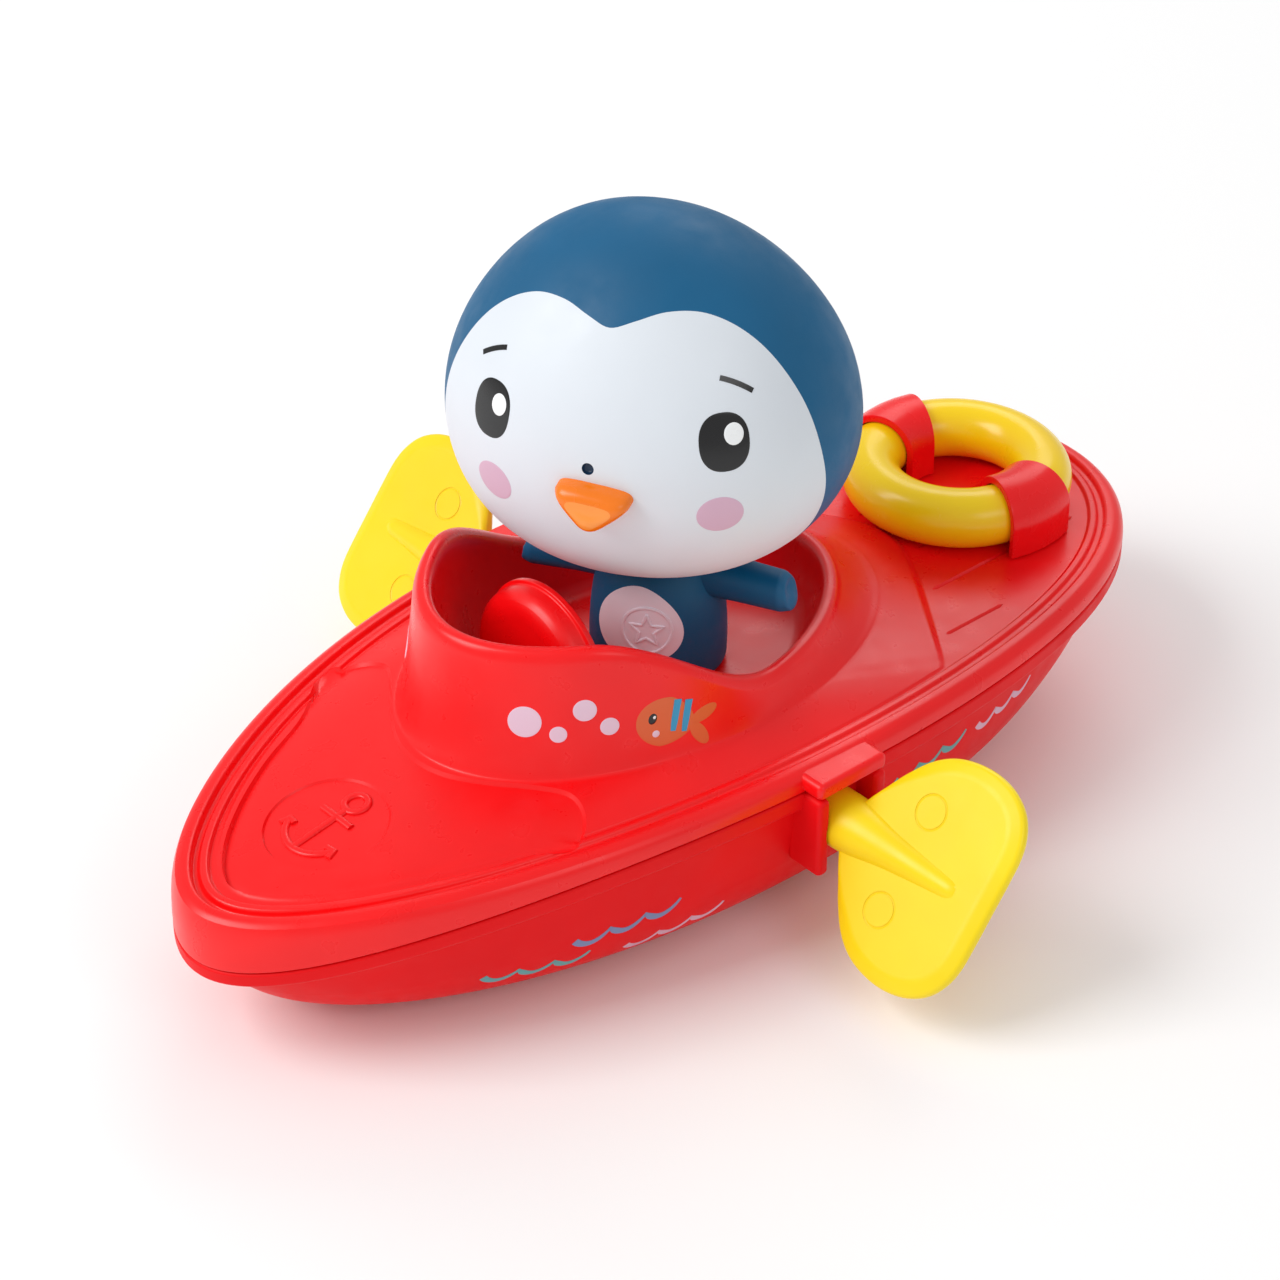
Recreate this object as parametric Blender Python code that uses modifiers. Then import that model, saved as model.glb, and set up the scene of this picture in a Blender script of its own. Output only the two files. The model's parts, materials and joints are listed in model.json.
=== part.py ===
"""Toy paddle boat with a removable penguin figure.

Axes: +X bow, +Y port, +Z up, the keel rests on Z = 0. Lengths in the code are
millimetres; add_mesh turns them into metres.
"""

import math

import bmesh
import bpy
from mathutils import Matrix, Vector

MM = 0.001

# Hull and deck
LENGTH = 222.0
HALF_BEAM = 49.0
PARTING_Z = 34.0
PARTING_GAP = 0.3
BOW_DROP = 6.5
SEAM_DROP = 6.5
WALL = 2.0
STATIONS = 48
RIM_TOP = 4.2
BEAD_TOP = 3.9
TRAY_Z = 3.2
APRON_Z = 4.4
COWL_FOOT_Z = 7.0

# Cockpit
WELL_X = 8.2
WELL_HALF_LENGTH = 42.3
WELL_HALF_BREADTH = 28.6
WELL_FLOOR_Z = 2.0
WELL_RIM = 3.0
PEG_R = 4.0
PEG_HEIGHT = 4.0

# Paddle drive
AXLE_X = 2.0
AXLE_Z = 26.0
AXLE_R = 1.5
BORE_R = 1.54
PADDLE_TILT = math.radians(38.0)
BLADE_THICK = 3.6
BLADE_TIP = 88.5
HUB_R = 5.5
HUB_START = 48.3

# Wind-up motor
MODULE = 0.6
PINION_TEETH = 12
IDLER_TEETH = 30
BARREL_TEETH = 36
TOOTH_PLAY = 0.10

# Lifebuoy
BUOY_X = -78.5
BUOY_R = 17.2
BUOY_TUBE = 5.9

# Figure
FIGURE_X = 1.5
FIGURE_TURN = math.radians(29.0)
HEAD_TILT = math.radians(1.5)
HEAD_Z = 62.0
HEAD_HALF = (33.0, 38.0, 34.5)
HEAD_BACK = 28.0

SCREW_PLACES = ((60.0, 11.0), (60.0, -11.0), (-63.0, 12.0), (-63.0, -12.0))

COLOURS = {
    "deck_red": (0.80, 0.015, 0.012),
    "hull_red": (0.74, 0.012, 0.012),
    "yellow": (0.95, 0.78, 0.0),
    "buoy_yellow": (0.96, 0.70, 0.0),
    "vinyl_navy": (0.012, 0.068, 0.14),
    "steel": (0.62, 0.63, 0.65),
    "brass": (0.72, 0.53, 0.22),
    "gear_white": (0.85, 0.85, 0.82),
    "case_grey": (0.35, 0.36, 0.38),
    "seal_black": (0.02, 0.02, 0.02),
}


def collection(name):
    made = bpy.data.collections.new(name)
    bpy.context.scene.collection.children.link(made)
    return made


def clear_scene():
    for obj in list(bpy.data.objects):
        bpy.data.objects.remove(obj, do_unlink=True)


def material(name, slot):
    made = bpy.data.materials.new(name)
    made.use_nodes = True
    shader = made.node_tree.nodes["Principled BSDF"]
    shader.inputs["Base Color"].default_value = COLOURS[slot] + (1.0,)
    metal = slot in ("steel", "brass")
    shader.inputs["Metallic"].default_value = 1.0 if metal else 0.0
    shader.inputs["Roughness"].default_value = 0.3
    return made


def add_mesh(name, points, faces, slot, where):
    """One closed mesh from millimetre points, with its normals pointing out."""
    mesh = bpy.data.meshes.new(name)
    shape = bmesh.new()
    verts = [shape.verts.new(Vector(p) * MM) for p in points]
    for face in faces:
        corners = []
        for index in face:
            if verts[index] not in corners:
                corners.append(verts[index])
        if len(corners) > 2:
            shape.faces.new(corners)
    bmesh.ops.remove_doubles(shape, verts=shape.verts[:], dist=1e-6)
    bmesh.ops.recalc_face_normals(shape, faces=shape.faces[:])
    shape.to_mesh(mesh)
    shape.free()
    obj = bpy.data.objects.new(name, mesh)
    obj.data.materials.append(material(name, slot))
    where.objects.link(obj)
    return obj


def skin(name, rings, slot, where, capped=True):
    """A loft through rings of equal length. Capped, it closes on a centre point at each end."""
    count = len(rings[0])
    points = [p for ring in rings for p in ring]
    faces = []
    for row in range(len(rings) - 1):
        for k in range(count):
            nxt = (k + 1) % count
            a = row * count
            b = a + count
            faces.append((a + k, a + nxt, b + nxt, b + k))
    if capped:
        for ring, start in ((rings[0], 0), (rings[-1], (len(rings) - 1) * count)):
            centre = sum((Vector(p) for p in ring), Vector()) / count
            points.append(centre)
            for k in range(count):
                faces.append((start + k, start + (k + 1) % count, len(points) - 1))
    return add_mesh(name, points, faces, slot, where)


def turned(name, profile, slot, where, steps=32, frame=None):
    """A closed (radius, height) profile turned about the Z axis of frame."""
    frame = frame or Matrix()
    points = []
    for k in range(steps):
        turn = 2 * math.pi * k / steps
        for radius, height in profile:
            point = Vector((radius * math.cos(turn), radius * math.sin(turn), height))
            points.append(frame @ point)
    size = len(profile)
    faces = []
    for k in range(steps):
        a = k * size
        b = ((k + 1) % steps) * size
        for j in range(size):
            nxt = (j + 1) % size
            if profile[j][0] == 0 and profile[nxt][0] == 0:
                continue
            faces.append((a + j, a + nxt, b + nxt, b + j))
    obj = add_mesh(name, points, faces, slot, where)
    return obj


def block(name, low, high, slot, where, bevel=0.0):
    points = [(x, y, z) for x in (low[0], high[0]) for y in (low[1], high[1]) for z in (low[2], high[2])]
    faces = ((0, 1, 3, 2), (4, 6, 7, 5), (0, 4, 5, 1), (2, 3, 7, 6), (0, 2, 6, 4), (1, 5, 7, 3))
    obj = add_mesh(name, points, faces, slot, where)
    if bevel:
        edge = obj.modifiers.new("edges", "BEVEL")
        edge.width = bevel * MM
        edge.segments = 2
        edge.limit_method = "ANGLE"
        bake(obj)
    return obj


def bake(obj):
    """Replaces the mesh with its modified form."""
    graph = bpy.context.evaluated_depsgraph_get()
    mesh = bpy.data.meshes.new_from_object(obj.evaluated_get(graph))
    obj.modifiers.clear()
    obj.data = mesh


def combine(obj, other, operation):
    step = obj.modifiers.new(operation.lower(), "BOOLEAN")
    step.operation = operation
    step.solver = "EXACT"
    step.object = other
    bake(obj)
    shape = bmesh.new()
    shape.from_mesh(obj.data)
    bmesh.ops.remove_doubles(shape, verts=shape.verts[:], dist=2e-6)
    bmesh.ops.dissolve_degenerate(shape, edges=shape.edges[:], dist=2e-6)
    shape.to_mesh(obj.data)
    shape.free()
    bpy.data.objects.remove(other, do_unlink=True)


def along_y(x, y, z):
    """A frame whose Z axis runs along +Y."""
    return Matrix.Translation((x, y, z)) @ Matrix.Rotation(-math.pi / 2, 4, "X")


def drop_bow(obj):
    """The rim and deck fall gently towards the bow, while the keel stays flat."""
    for vert in obj.data.vertices:
        x = vert.co.x / MM - 20.0
        if x > 0:
            height = vert.co.z / MM
            share = min(max(height / PARTING_Z, 0.0), 1.0)
            # The parting line falls further than the rim, and the hull's bottom doesn't
            seam = min(max((height - 24.0) / 5.0, 0.0), 1.0) * min(max((37.5 - height) / 3.0, 0.0), 1.0)
            fall = BOW_DROP * (x / 91.0) ** 2 * share + SEAM_DROP * (x / 91.0) ** 2.5 * seam
            vert.co.z -= fall * MM
    return obj


def smooth(value):
    value = min(max(value, 0.0), 1.0)
    return value * value * (3 - 2 * value)


# ---------------------------------------------------------------- plan curves


def breadth_shape(turn):
    """Half breadth over half beam: fuller at the stern than at the bow."""
    wave = 50.2 * math.sin(turn) - 3.7 * math.sin(2 * turn)
    wave += 0.9 * math.sin(3 * turn) - 0.8 * math.sin(4 * turn)
    return wave / 49.3


def turns():
    return [2 * math.pi * (k + 0.5) / STATIONS for k in range(STATIONS)]


def plan(bow, stern, half_beam):
    middle = (bow + stern) / 2
    half = (bow - stern) / 2
    curve = []
    for turn in turns():
        side = 1 if turn < math.pi else -1
        inner = turn if turn < math.pi else 2 * math.pi - turn
        curve.append((middle + half * math.cos(turn), side * half_beam * breadth_shape(inner)))
    return curve


def inset(curve, distance):
    """The closed curve moved inwards along its normals."""
    moved = []
    count = len(curve)
    for k in range(count):
        before = curve[k - 1]
        after = curve[(k + 1) % count]
        dx = after[0] - before[0]
        dy = after[1] - before[1]
        size = math.hypot(dx, dy)
        moved.append((curve[k][0] - distance * dy / size, curve[k][1] + distance * dx / size))
    return moved


def well(grow):
    curve = []
    for turn in turns():
        x = WELL_X + (WELL_HALF_LENGTH + grow) * math.cos(turn)
        y = (WELL_HALF_BREADTH + grow) * math.sin(turn) - 0.8 * math.sin(3 * turn)
        curve.append((x, y))
    return curve


def oval(front, rear, half_breadth):
    middle = (front + rear) / 2
    half = (front - rear) / 2
    return [(middle + half * math.cos(t), half_breadth * math.sin(t)) for t in turns()]


def rim_height(x):
    """The coaming stands high round the bow end of the well and low at the stern end."""
    return 14.0 + 17.5 * smooth(x / 38.0)


def apron_edge(y):
    return -57.6 + 0.72 * (math.sqrt(y * y + 64.0) - 8.0)


def mix(a, b, share):
    return (a[0] + (b[0] - a[0]) * share, a[1] + (b[1] - a[1]) * share)


def lifted(curve, height):
    """Ring from a plan curve: height is one number, or a function of x and y."""
    if callable(height):
        return [(x, y, PARTING_Z + height(x, y)) for x, y in curve]
    return [(x, y, PARTING_Z + height) for x, y in curve]


# ----------------------------------------------------------------------- deck


def apron_share(foot, bead):
    """How far from the cowl's foot towards the bead the raised deck ends."""
    if bead[0] > apron_edge(bead[1]):
        return 0.93
    low = 0.0
    high = 1.0
    for _ in range(20):
        middle = (low + high) / 2
        point = mix(foot, bead, middle)
        if point[0] > apron_edge(point[1]):
            low = middle
        else:
            high = middle
    return min(low, 0.93)


def deck_rings():
    outline = plan(LENGTH / 2, -LENGTH / 2, HALF_BEAM)
    bead_foot = inset(outline, 7.2)
    foot = oval(58.5, -47.5, 34.5)
    shares = [apron_share(a, b) for a, b in zip(foot, bead_foot)]
    apron = [mix(a, b, s) for a, b, s in zip(foot, bead_foot, shares)]
    tray = [mix(a, b, s + 0.035) for a, b, s in zip(foot, bead_foot, shares)]
    in_tray = [s < 0.925 and b[0] < 0 for s, b in zip(shares, bead_foot)]

    def tray_ring(curve, low, high, drop=0.0):
        ring = []
        for (x, y), sunk in zip(curve, in_tray):
            ring.append((x, y, PARTING_Z + (low if sunk else high) - drop))
        return ring

    rings = [
        lifted(well(-9.0), WELL_FLOOR_Z),
        lifted(well(-4.5), WELL_FLOOR_Z),
        lifted(well(-3.0), WELL_FLOOR_Z + 1.8),
        lifted(well(-0.6), lambda x, y: rim_height(x) - 1.6),
        lifted(well(0.3), lambda x, y: rim_height(x) - 0.4),
        lifted(well(1.4), lambda x, y: rim_height(x)),
        lifted(well(2.6), lambda x, y: rim_height(x) - 0.5),
        lifted(well(3.2), lambda x, y: rim_height(x) - 1.8),
    ]
    top = well(3.2)
    for share, rise in ((0.22, 0.62), (0.5, 0.30), (0.8, 0.08)):
        ring = []
        for inner, outer in zip(top, foot):
            x, y = mix(inner, outer, share)
            high = rim_height(inner[0]) - 1.8
            ring.append((x, y, PARTING_Z + COWL_FOOT_Z + (high - COWL_FOOT_Z) * rise))
        rings.append(ring)
    rings.append(lifted(foot, COWL_FOOT_Z - 0.2))
    rings.append(tray_ring(apron, APRON_Z, BEAD_TOP - 0.2))
    rings.append(tray_ring(tray, TRAY_Z, BEAD_TOP - 0.5))
    rings.append(tray_ring(bead_foot, TRAY_Z, BEAD_TOP - 0.6))
    rings.append(lifted(inset(outline, 6.7), BEAD_TOP))
    rings.append(lifted(inset(outline, 5.7), BEAD_TOP))
    rings.append(lifted(inset(outline, 5.3), BEAD_TOP - 0.5))
    rings.append(lifted(inset(outline, 3.9), BEAD_TOP - 0.5))
    rings.append(lifted(inset(outline, 3.5), RIM_TOP))
    rings.append(lifted(inset(outline, 1.6), RIM_TOP))
    rings.append(lifted(inset(outline, 0.5), RIM_TOP - 0.8))
    rings.append(lifted(outline, RIM_TOP - 2.4))
    rings.append(lifted(outline, PARTING_GAP / 2))
    # The underside, from the skirt in to the well's floor
    rings.append(lifted(inset(outline, WALL), PARTING_GAP / 2))
    rings.append(lifted(inset(outline, WALL + 0.4), RIM_TOP - WALL - 0.4))
    rings.append(tray_ring(inset(outline, 7.8), TRAY_Z, BEAD_TOP - 0.6, WALL))
    rings.append(tray_ring(tray, TRAY_Z, BEAD_TOP - 0.6, WALL))
    rings.append(tray_ring(apron, APRON_Z, BEAD_TOP - 0.2, WALL + 1.0))
    inner_foot = [mix(a, b, 0.1) for a, b in zip(foot, top)]
    rings.append(lifted(inner_foot, COWL_FOOT_Z - WALL - 0.6))
    peak = []
    for inner, outer in zip(well(0.6), foot):
        x, y = mix(inner, outer, 0.18)
        peak.append((x, y, PARTING_Z + COWL_FOOT_Z - WALL + 0.35 * (rim_height(inner[0]) - COWL_FOOT_Z)))
    rings.append(peak)
    rings.append(lifted(well(-1.2), WELL_FLOOR_Z))
    rings.append(lifted(well(-3.4), WELL_FLOOR_Z - WALL))
    rings.append(lifted(well(-9.0), WELL_FLOOR_Z - WALL))
    return rings


def make_deck(where):
    deck = skin("deck", deck_rings(), "deck_red", where)
    for side in (1, -1):
        low = (AXLE_X - 8.8, min(side * 44.0, side * 53.0), PARTING_Z + PARTING_GAP / 2)
        high = (AXLE_X + 8.8, max(side * 44.0, side * 53.0), PARTING_Z + RIM_TOP - 0.6)
        combine(deck, block("housing", low, high, "deck_red", where, 0.6), "UNION")
    peg_profile = ((0, 1.0), (PEG_R, 1.0), (PEG_R, 2.0 + PEG_HEIGHT - 0.8), (PEG_R - 0.8, 2.0 + PEG_HEIGHT), (0, 2.0 + PEG_HEIGHT))
    peg = turned("peg", peg_profile, "deck_red", where, 24, Matrix.Translation((FIGURE_X, 0, PARTING_Z)))
    combine(deck, peg, "UNION")
    for x, y in SCREW_PLACES:
        top = PARTING_Z + (4.8 if x > 0 else TRAY_Z - 1.0)
        boss_profile = ((0, 18.3), (3.4, 18.3), (3.4, top), (0, top))
        boss = turned("boss", boss_profile, "deck_red", where, 16, Matrix.Translation((x, y, 0)))
        combine(deck, boss, "UNION")
        hole_profile = ((0, 17.0), (1.65, 17.0), (1.65, 29.0), (0, 29.6))
        hole = turned("pilot", hole_profile, "deck_red", where, 12, Matrix.Translation((x, y, 0)))
        combine(deck, hole, "DIFFERENCE")
    for side in (1, -1):
        for y, front, rear in ((8.0, -58.0, -63.0), (20.5, -50.0, -76.0), (33.0, -41.0, -58.0)):
            low = (rear, side * y - 0.45, PARTING_Z + TRAY_Z - 0.5)
            high = (front - 1.5, side * y + 0.45, PARTING_Z + TRAY_Z + 0.5)
            combine(deck, block("groove", low, high, "deck_red", where), "DIFFERENCE")
    return deck


# ----------------------------------------------------------------------- hull

HULL_LEVELS = (
    # height, bow, stern, half beam
    (-4.3, 108.6, -108.4, 46.6),
    (-14.0, 106.0, -101.0, 45.8),
    (-22.0, 101.0, -92.0, 43.8),
    (-27.0, 95.0, -85.0, 40.6),
    (-31.0, 87.0, -78.0, 34.4),
    (-33.3, 80.0, -73.0, 26.0),
)
KEEL = (-34.0, 75.0, -71.0, 20.0)


def hull_rings():
    rings = []
    inner = [level for level in HULL_LEVELS if level[0] > -32.0]
    rings.append(lifted(plan(70.0, -68.0, 13.0), -31.9))
    rings.append(lifted(inset(plan(*HULL_LEVELS[4][1:]), WALL), -30.2))
    for height, bow, stern, half in reversed(inner[1:-1]):
        rings.append(lifted(inset(plan(bow, stern, half), WALL), height + 0.6))
    rings.append(lifted(inset(plan(*HULL_LEVELS[0][1:]), WALL + 0.2), -3.6))
    outline = plan(LENGTH / 2, -LENGTH / 2, HALF_BEAM)
    rings.append(lifted(inset(outline, WALL + 0.8), -PARTING_GAP / 2))
    rings.append(lifted(outline, -PARTING_GAP / 2))
    rings.append(lifted(outline, -3.4))
    rings.append(lifted(inset(outline, 0.5), -4.1))
    for height, bow, stern, half in HULL_LEVELS:
        rings.append(lifted(plan(bow, stern, half), height))
    rings.append(lifted(plan(*KEEL[1:]), KEEL[0]))
    return rings


def make_hull(where):
    hull = skin("hull", hull_rings(), "hull_red", where)
    top = PARTING_Z - PARTING_GAP / 2
    for side in (1, -1):
        for x0, x1, y1, z0 in ((5.8, 8.8, 53.0, 17.0), (-8.8, -5.8, 53.0, 17.0), (-6.2, 6.2, 47.9, 18.0)):
            low = (AXLE_X + x0, min(side * 44.6, side * y1), z0)
            high = (AXLE_X + x1, max(side * 44.6, side * y1), top)
            combine(hull, block("flange", low, high, "hull_red", where, 0.5 if y1 > 50 else 0.0), "UNION")
        hole_profile = ((0, 0), (4.6, 0), (4.6, 10.0), (0, 10.0))
        start = 41.0 if side > 0 else -51.0
        hole = turned("axle_hole", hole_profile, "hull_red", where, 24, along_y(AXLE_X, start, AXLE_Z))
        combine(hull, hole, "DIFFERENCE")
        swing_profile = ((0, 0), (5.95, 0), (5.95, 8.0), (0, 8.0))
        start = 48.0 if side > 0 else -56.0
        swing = turned("swing", swing_profile, "hull_red", where, 32, along_y(AXLE_X, start, AXLE_Z))
        combine(hull, swing, "DIFFERENCE")
    for x, y in SCREW_PLACES:
        post_profile = ((0, 1.2), (5.0, 1.2), (5.0, 18.0), (0, 18.0))
        post = turned("post", post_profile, "hull_red", where, 20, Matrix.Translation((x, y, 0)))
        combine(hull, post, "UNION")
        bore_profile = ((0, -1.0), (3.4, -1.0), (3.4, 14.0), (1.75, 14.0), (1.75, 19.0), (0, 19.0))
        bore = turned("screw_bore", bore_profile, "hull_red", where, 20, Matrix.Translation((x, y, 0)))
        combine(hull, bore, "DIFFERENCE")
    return hull


# ------------------------------------------------------------- axle, paddles


def blade_outline():
    """Half of the blade's outline from hub to tip, as (distance along axle, across)."""
    half = [(54.8, 4.6), (56.6, 9.0), (59.2, 13.4), (62.6, 17.6), (66.5, 20.3), (71.0, 21.7)]
    half += [(76.0, 22.0), (80.8, 21.0), (84.8, 18.6), (87.2, 15.2), (88.3, 11.3), (BLADE_TIP, 7.0)]
    return half + [(a, -b) for a, b in reversed(half)]


def make_paddle(name, side, where):
    outline = blade_outline()
    across = Vector((-math.sin(PADDLE_TILT), 0, math.cos(PADDLE_TILT)))
    normal = Vector((math.cos(PADDLE_TILT), 0, math.sin(PADDLE_TILT)))
    centre = Vector((AXLE_X, 0, AXLE_Z))
    middle = sum(a for a, _ in outline) / len(outline)
    rings = []
    for level, shrink in ((-0.5, 1.2), (-0.2, 0.0), (0.2, 0.0), (0.5, 1.2)):
        ring = []
        for a, b in outline:
            pull = Vector((middle - a, -b)).normalized() * shrink
            point = centre + Vector((0, side * (a + pull.x), 0)) + across * (b + pull.y)
            ring.append(point + normal * BLADE_THICK * level)
        rings.append(ring)
    paddle = skin(name, rings, "yellow", where)
    if side > 0:
        frame = along_y(AXLE_X, 0, AXLE_Z)
    else:
        frame = Matrix.Translation((AXLE_X, 0, AXLE_Z)) @ Matrix.Rotation(math.pi / 2, 4, "X")
    hub_profile = ((0, HUB_START), (HUB_R, HUB_START), (HUB_R, 55.0), (5.0, 60.0), (2.6, 75.0), (1.2, 83.0), (0, 83.6))
    combine(paddle, turned("hub", hub_profile, "yellow", where, 24, frame), "UNION")
    bore_profile = ((0, HUB_START - 1), (BORE_R, HUB_START - 1), (BORE_R, 62.0), (0, 62.0))
    combine(paddle, turned("bore", bore_profile, "yellow", where, 24, frame), "DIFFERENCE")
    return paddle


def make_axle(where):
    profile = ((0, -61.5), (1.1, -61.5), (AXLE_R, -61.1), (AXLE_R, 61.1), (1.1, 61.5), (0, 61.5))
    turned("axle", profile, "steel", where, 24, along_y(AXLE_X, 0, AXLE_Z))
    for name, start in (("axle_seal_port", 44.4), ("axle_seal_starboard", -47.6)):
        ring = ((BORE_R, 0), (4.4, 0), (4.4, 3.2), (BORE_R, 3.2))
        turned(name, ring, "seal_black", where, 24, along_y(AXLE_X, start, AXLE_Z))


# ---------------------------------------------------------------- wind-up motor

IDLER_X = AXLE_X - 10.8
IDLER_Z = AXLE_Z - 6.49
BARREL_X = IDLER_X - 14.3
BARREL_Z = IDLER_Z - 1.7


def gear_outline(teeth, turn):
    """Tooth outline in the (x, z) plane: trapezoid teeth, a little thin so that they mesh with play."""
    pitch = MODULE * teeth / 2
    step = 2 * math.pi / teeth
    half = (math.pi * MODULE / 2 - TOOTH_PLAY) / 2 / pitch
    root = (pitch - 1.2 * MODULE, half + 0.11 * step)
    tip = (pitch + 0.85 * MODULE, half - 0.12 * step)
    outline = []
    for k in range(teeth):
        middle = turn + step * k
        for (radius, reach), sign in ((root, -1), (tip, -1), (tip, 1), (root, 1)):
            angle = middle + sign * reach
            outline.append((radius * math.cos(angle), radius * math.sin(angle)))
    return outline


def prism(name, outline, x, z, y0, y1, slot, where):
    rings = [[(x + a, y, z + b) for a, b in outline] for y in (y0, y1)]
    return skin(name, rings, slot, where)


def bearing(xa, za, xb, zb):
    return math.atan2(zb - za, xb - xa)


def make_motor(where):
    to_idler = bearing(AXLE_X, AXLE_Z, IDLER_X, IDLER_Z)
    pinion = prism("axle_pinion", gear_outline(PINION_TEETH, to_idler), AXLE_X, AXLE_Z, -8.0, -3.0, "gear_white", where)
    bore = ((0, -9.0), (BORE_R, -9.0), (BORE_R, -2.0), (0, -2.0))
    combine(pinion, turned("pinion_bore", bore, "gear_white", where, 20, along_y(AXLE_X, 0, AXLE_Z)), "DIFFERENCE")

    idler_turn = to_idler + math.pi + math.pi / IDLER_TEETH
    idler = prism("idler_gear", gear_outline(IDLER_TEETH, idler_turn), IDLER_X, IDLER_Z, -7.0, -4.0, "gear_white", where)
    small = prism("idler_pinion", gear_outline(PINION_TEETH, 0.0), IDLER_X, IDLER_Z, -4.5, 3.0, "gear_white", where)
    combine(idler, small, "UNION")
    bore = ((0, -8.0), (1.05, -8.0), (1.05, 4.0), (0, 4.0))
    combine(idler, turned("idler_bore", bore, "gear_white", where, 20, along_y(IDLER_X, 0, IDLER_Z)), "DIFFERENCE")
    turned("idler_pin", ((0, -12.2), (1.0, -12.2), (1.0, 12.2), (0, 12.2)), "steel", where, 20, along_y(IDLER_X, 0, IDLER_Z))

    to_barrel = bearing(IDLER_X, IDLER_Z, BARREL_X, BARREL_Z)
    step = 2 * math.pi / PINION_TEETH
    phase = (to_barrel / step) % 1.0
    barrel_turn = to_barrel + math.pi + (phase + 0.5) * 2 * math.pi / BARREL_TEETH
    barrel = prism("spring_barrel", gear_outline(BARREL_TEETH, barrel_turn), BARREL_X, BARREL_Z, -1.5, 1.5, "gear_white", where)
    cup = turned("cup", ((0, 0.5), (9.4, 0.5), (9.4, 9.5), (0, 9.5)), "gear_white", where, 32, along_y(BARREL_X, 0, BARREL_Z))
    combine(barrel, cup, "UNION")
    room = turned("room", ((0, 1.6), (8.4, 1.6), (8.4, 10.5), (0, 10.5)), "gear_white", where, 32, along_y(BARREL_X, 0, BARREL_Z))
    combine(barrel, room, "DIFFERENCE")
    bore = ((0, -3.0), (1.85, -3.0), (1.85, 3.0), (0, 3.0))
    combine(barrel, turned("barrel_bore", bore, "gear_white", where, 20, along_y(BARREL_X, 0, BARREL_Z)), "DIFFERENCE")
    arbor = ((0, -12.2), (1.0, -12.2), (1.0, -10.6), (1.8, -10.6), (1.8, 10.6), (1.0, 10.6), (1.0, 12.2), (0, 12.2))
    turned("spring_arbor", arbor, "steel", where, 20, along_y(BARREL_X, 0, BARREL_Z))
    make_mainspring(where)


def make_mainspring(where):
    """A flat strip wound in a spiral, as one closed ribbon."""
    steps = 60
    thick = 0.22
    rings = []
    for k in range(steps + 1):
        share = k / steps
        turn = share * 4.5 * 2 * math.pi
        radius = 2.3 + 5.7 * share
        ring = []
        for offset, y in ((-thick, 2.2), (thick, 2.2), (thick, 8.8), (-thick, 8.8)):
            reach = radius + offset
            ring.append((BARREL_X + reach * math.cos(turn), y, BARREL_Z + reach * math.sin(turn)))
        rings.append(ring)
    skin("mainspring", rings, "steel", where)


CASE = (BARREL_X - 13.0, AXLE_X + 6.2, 4.6, 31.6)
CASE_SCREWS = ((BARREL_X - 10.6, 28.9), (AXLE_X + 1.6, 7.6))


def make_case(where):
    """Two shallow boxes that close on each other at Y = 0 round the gears."""
    x0, x1, z0, z1 = CASE
    for name, side in (("motor_case_port", 1), ("motor_case_starboard", -1)):
        y0, y1 = sorted((side * 0.15, side * 13.4))
        half = block(name, (x0, y0, z0), (x1, y1, z1), "case_grey", where, 0.0)
        y0, y1 = sorted((-side * 1.0, side * 12.3))
        hollow = block("hollow", (x0 + 1.1, y0, z0 + 1.1), (x1 - 1.1, y1, z1 - 1.1), "case_grey", where)
        combine(half, hollow, "DIFFERENCE")
        for x, z in CASE_SCREWS:
            tube = ((0, 0.15), (2.3, 0.15), (2.3, 12.8), (0, 12.8))
            frame = along_y(x, 0, z) if side > 0 else Matrix.Translation((x, 0, z)) @ Matrix.Rotation(math.pi / 2, 4, "X")
            combine(half, turned("tube", tube, "case_grey", where, 16, frame), "UNION")
            hole = ((0, -1.0), (1.15, -1.0), (1.15, 15.0), (0, 15.0))
            if side < 0:
                hole = ((0, -1.0), (1.15, -1.0), (1.15, 11.0), (0, 11.0))
            combine(half, turned("hole", hole, "case_grey", where, 12, frame), "DIFFERENCE")
        for x, z, radius in ((AXLE_X, AXLE_Z, 1.6), (IDLER_X, IDLER_Z, 1.1), (BARREL_X, BARREL_Z, 1.1)):
            hole = ((0, -14.5), (radius, -14.5), (radius, 14.5), (0, 14.5))
            combine(half, turned("hole", hole, "case_grey", where, 16, along_y(x, 0, z)), "DIFFERENCE")
    for k, (x, z) in enumerate(CASE_SCREWS):
        head = ((0, -9.2), (0.5, -9.2), (1.0, -8.0), (1.0, 13.6), (2.0, 13.6), (2.0, 14.6), (1.5, 15.2), (0, 15.2))
        turned("case_screw_%d" % (k + 1), head, "steel", where, 16, along_y(x, 0, z))


def make_hull_screws(where):
    for k, (x, y) in enumerate(SCREW_PLACES):
        profile = ((0, 11.6), (2.0, 11.6), (2.8, 12.4), (2.8, 13.8), (1.45, 13.8), (1.45, 26.5), (0.4, 28.0), (0, 28.0))
        screw = turned("hull_screw_%d" % (k + 1), profile, "steel", where, 20, Matrix.Translation((x, y, 0)))
        for half_x, half_y in ((1.5, 0.35), (0.35, 1.5)):
            slot = block("recess", (x - half_x, y - half_y, 11.0), (x + half_x, y + half_y, 12.7), "steel", where)
            combine(screw, slot, "DIFFERENCE")
        drop_bow(screw)


# -------------------------------------------------------------------- fittings


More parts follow.
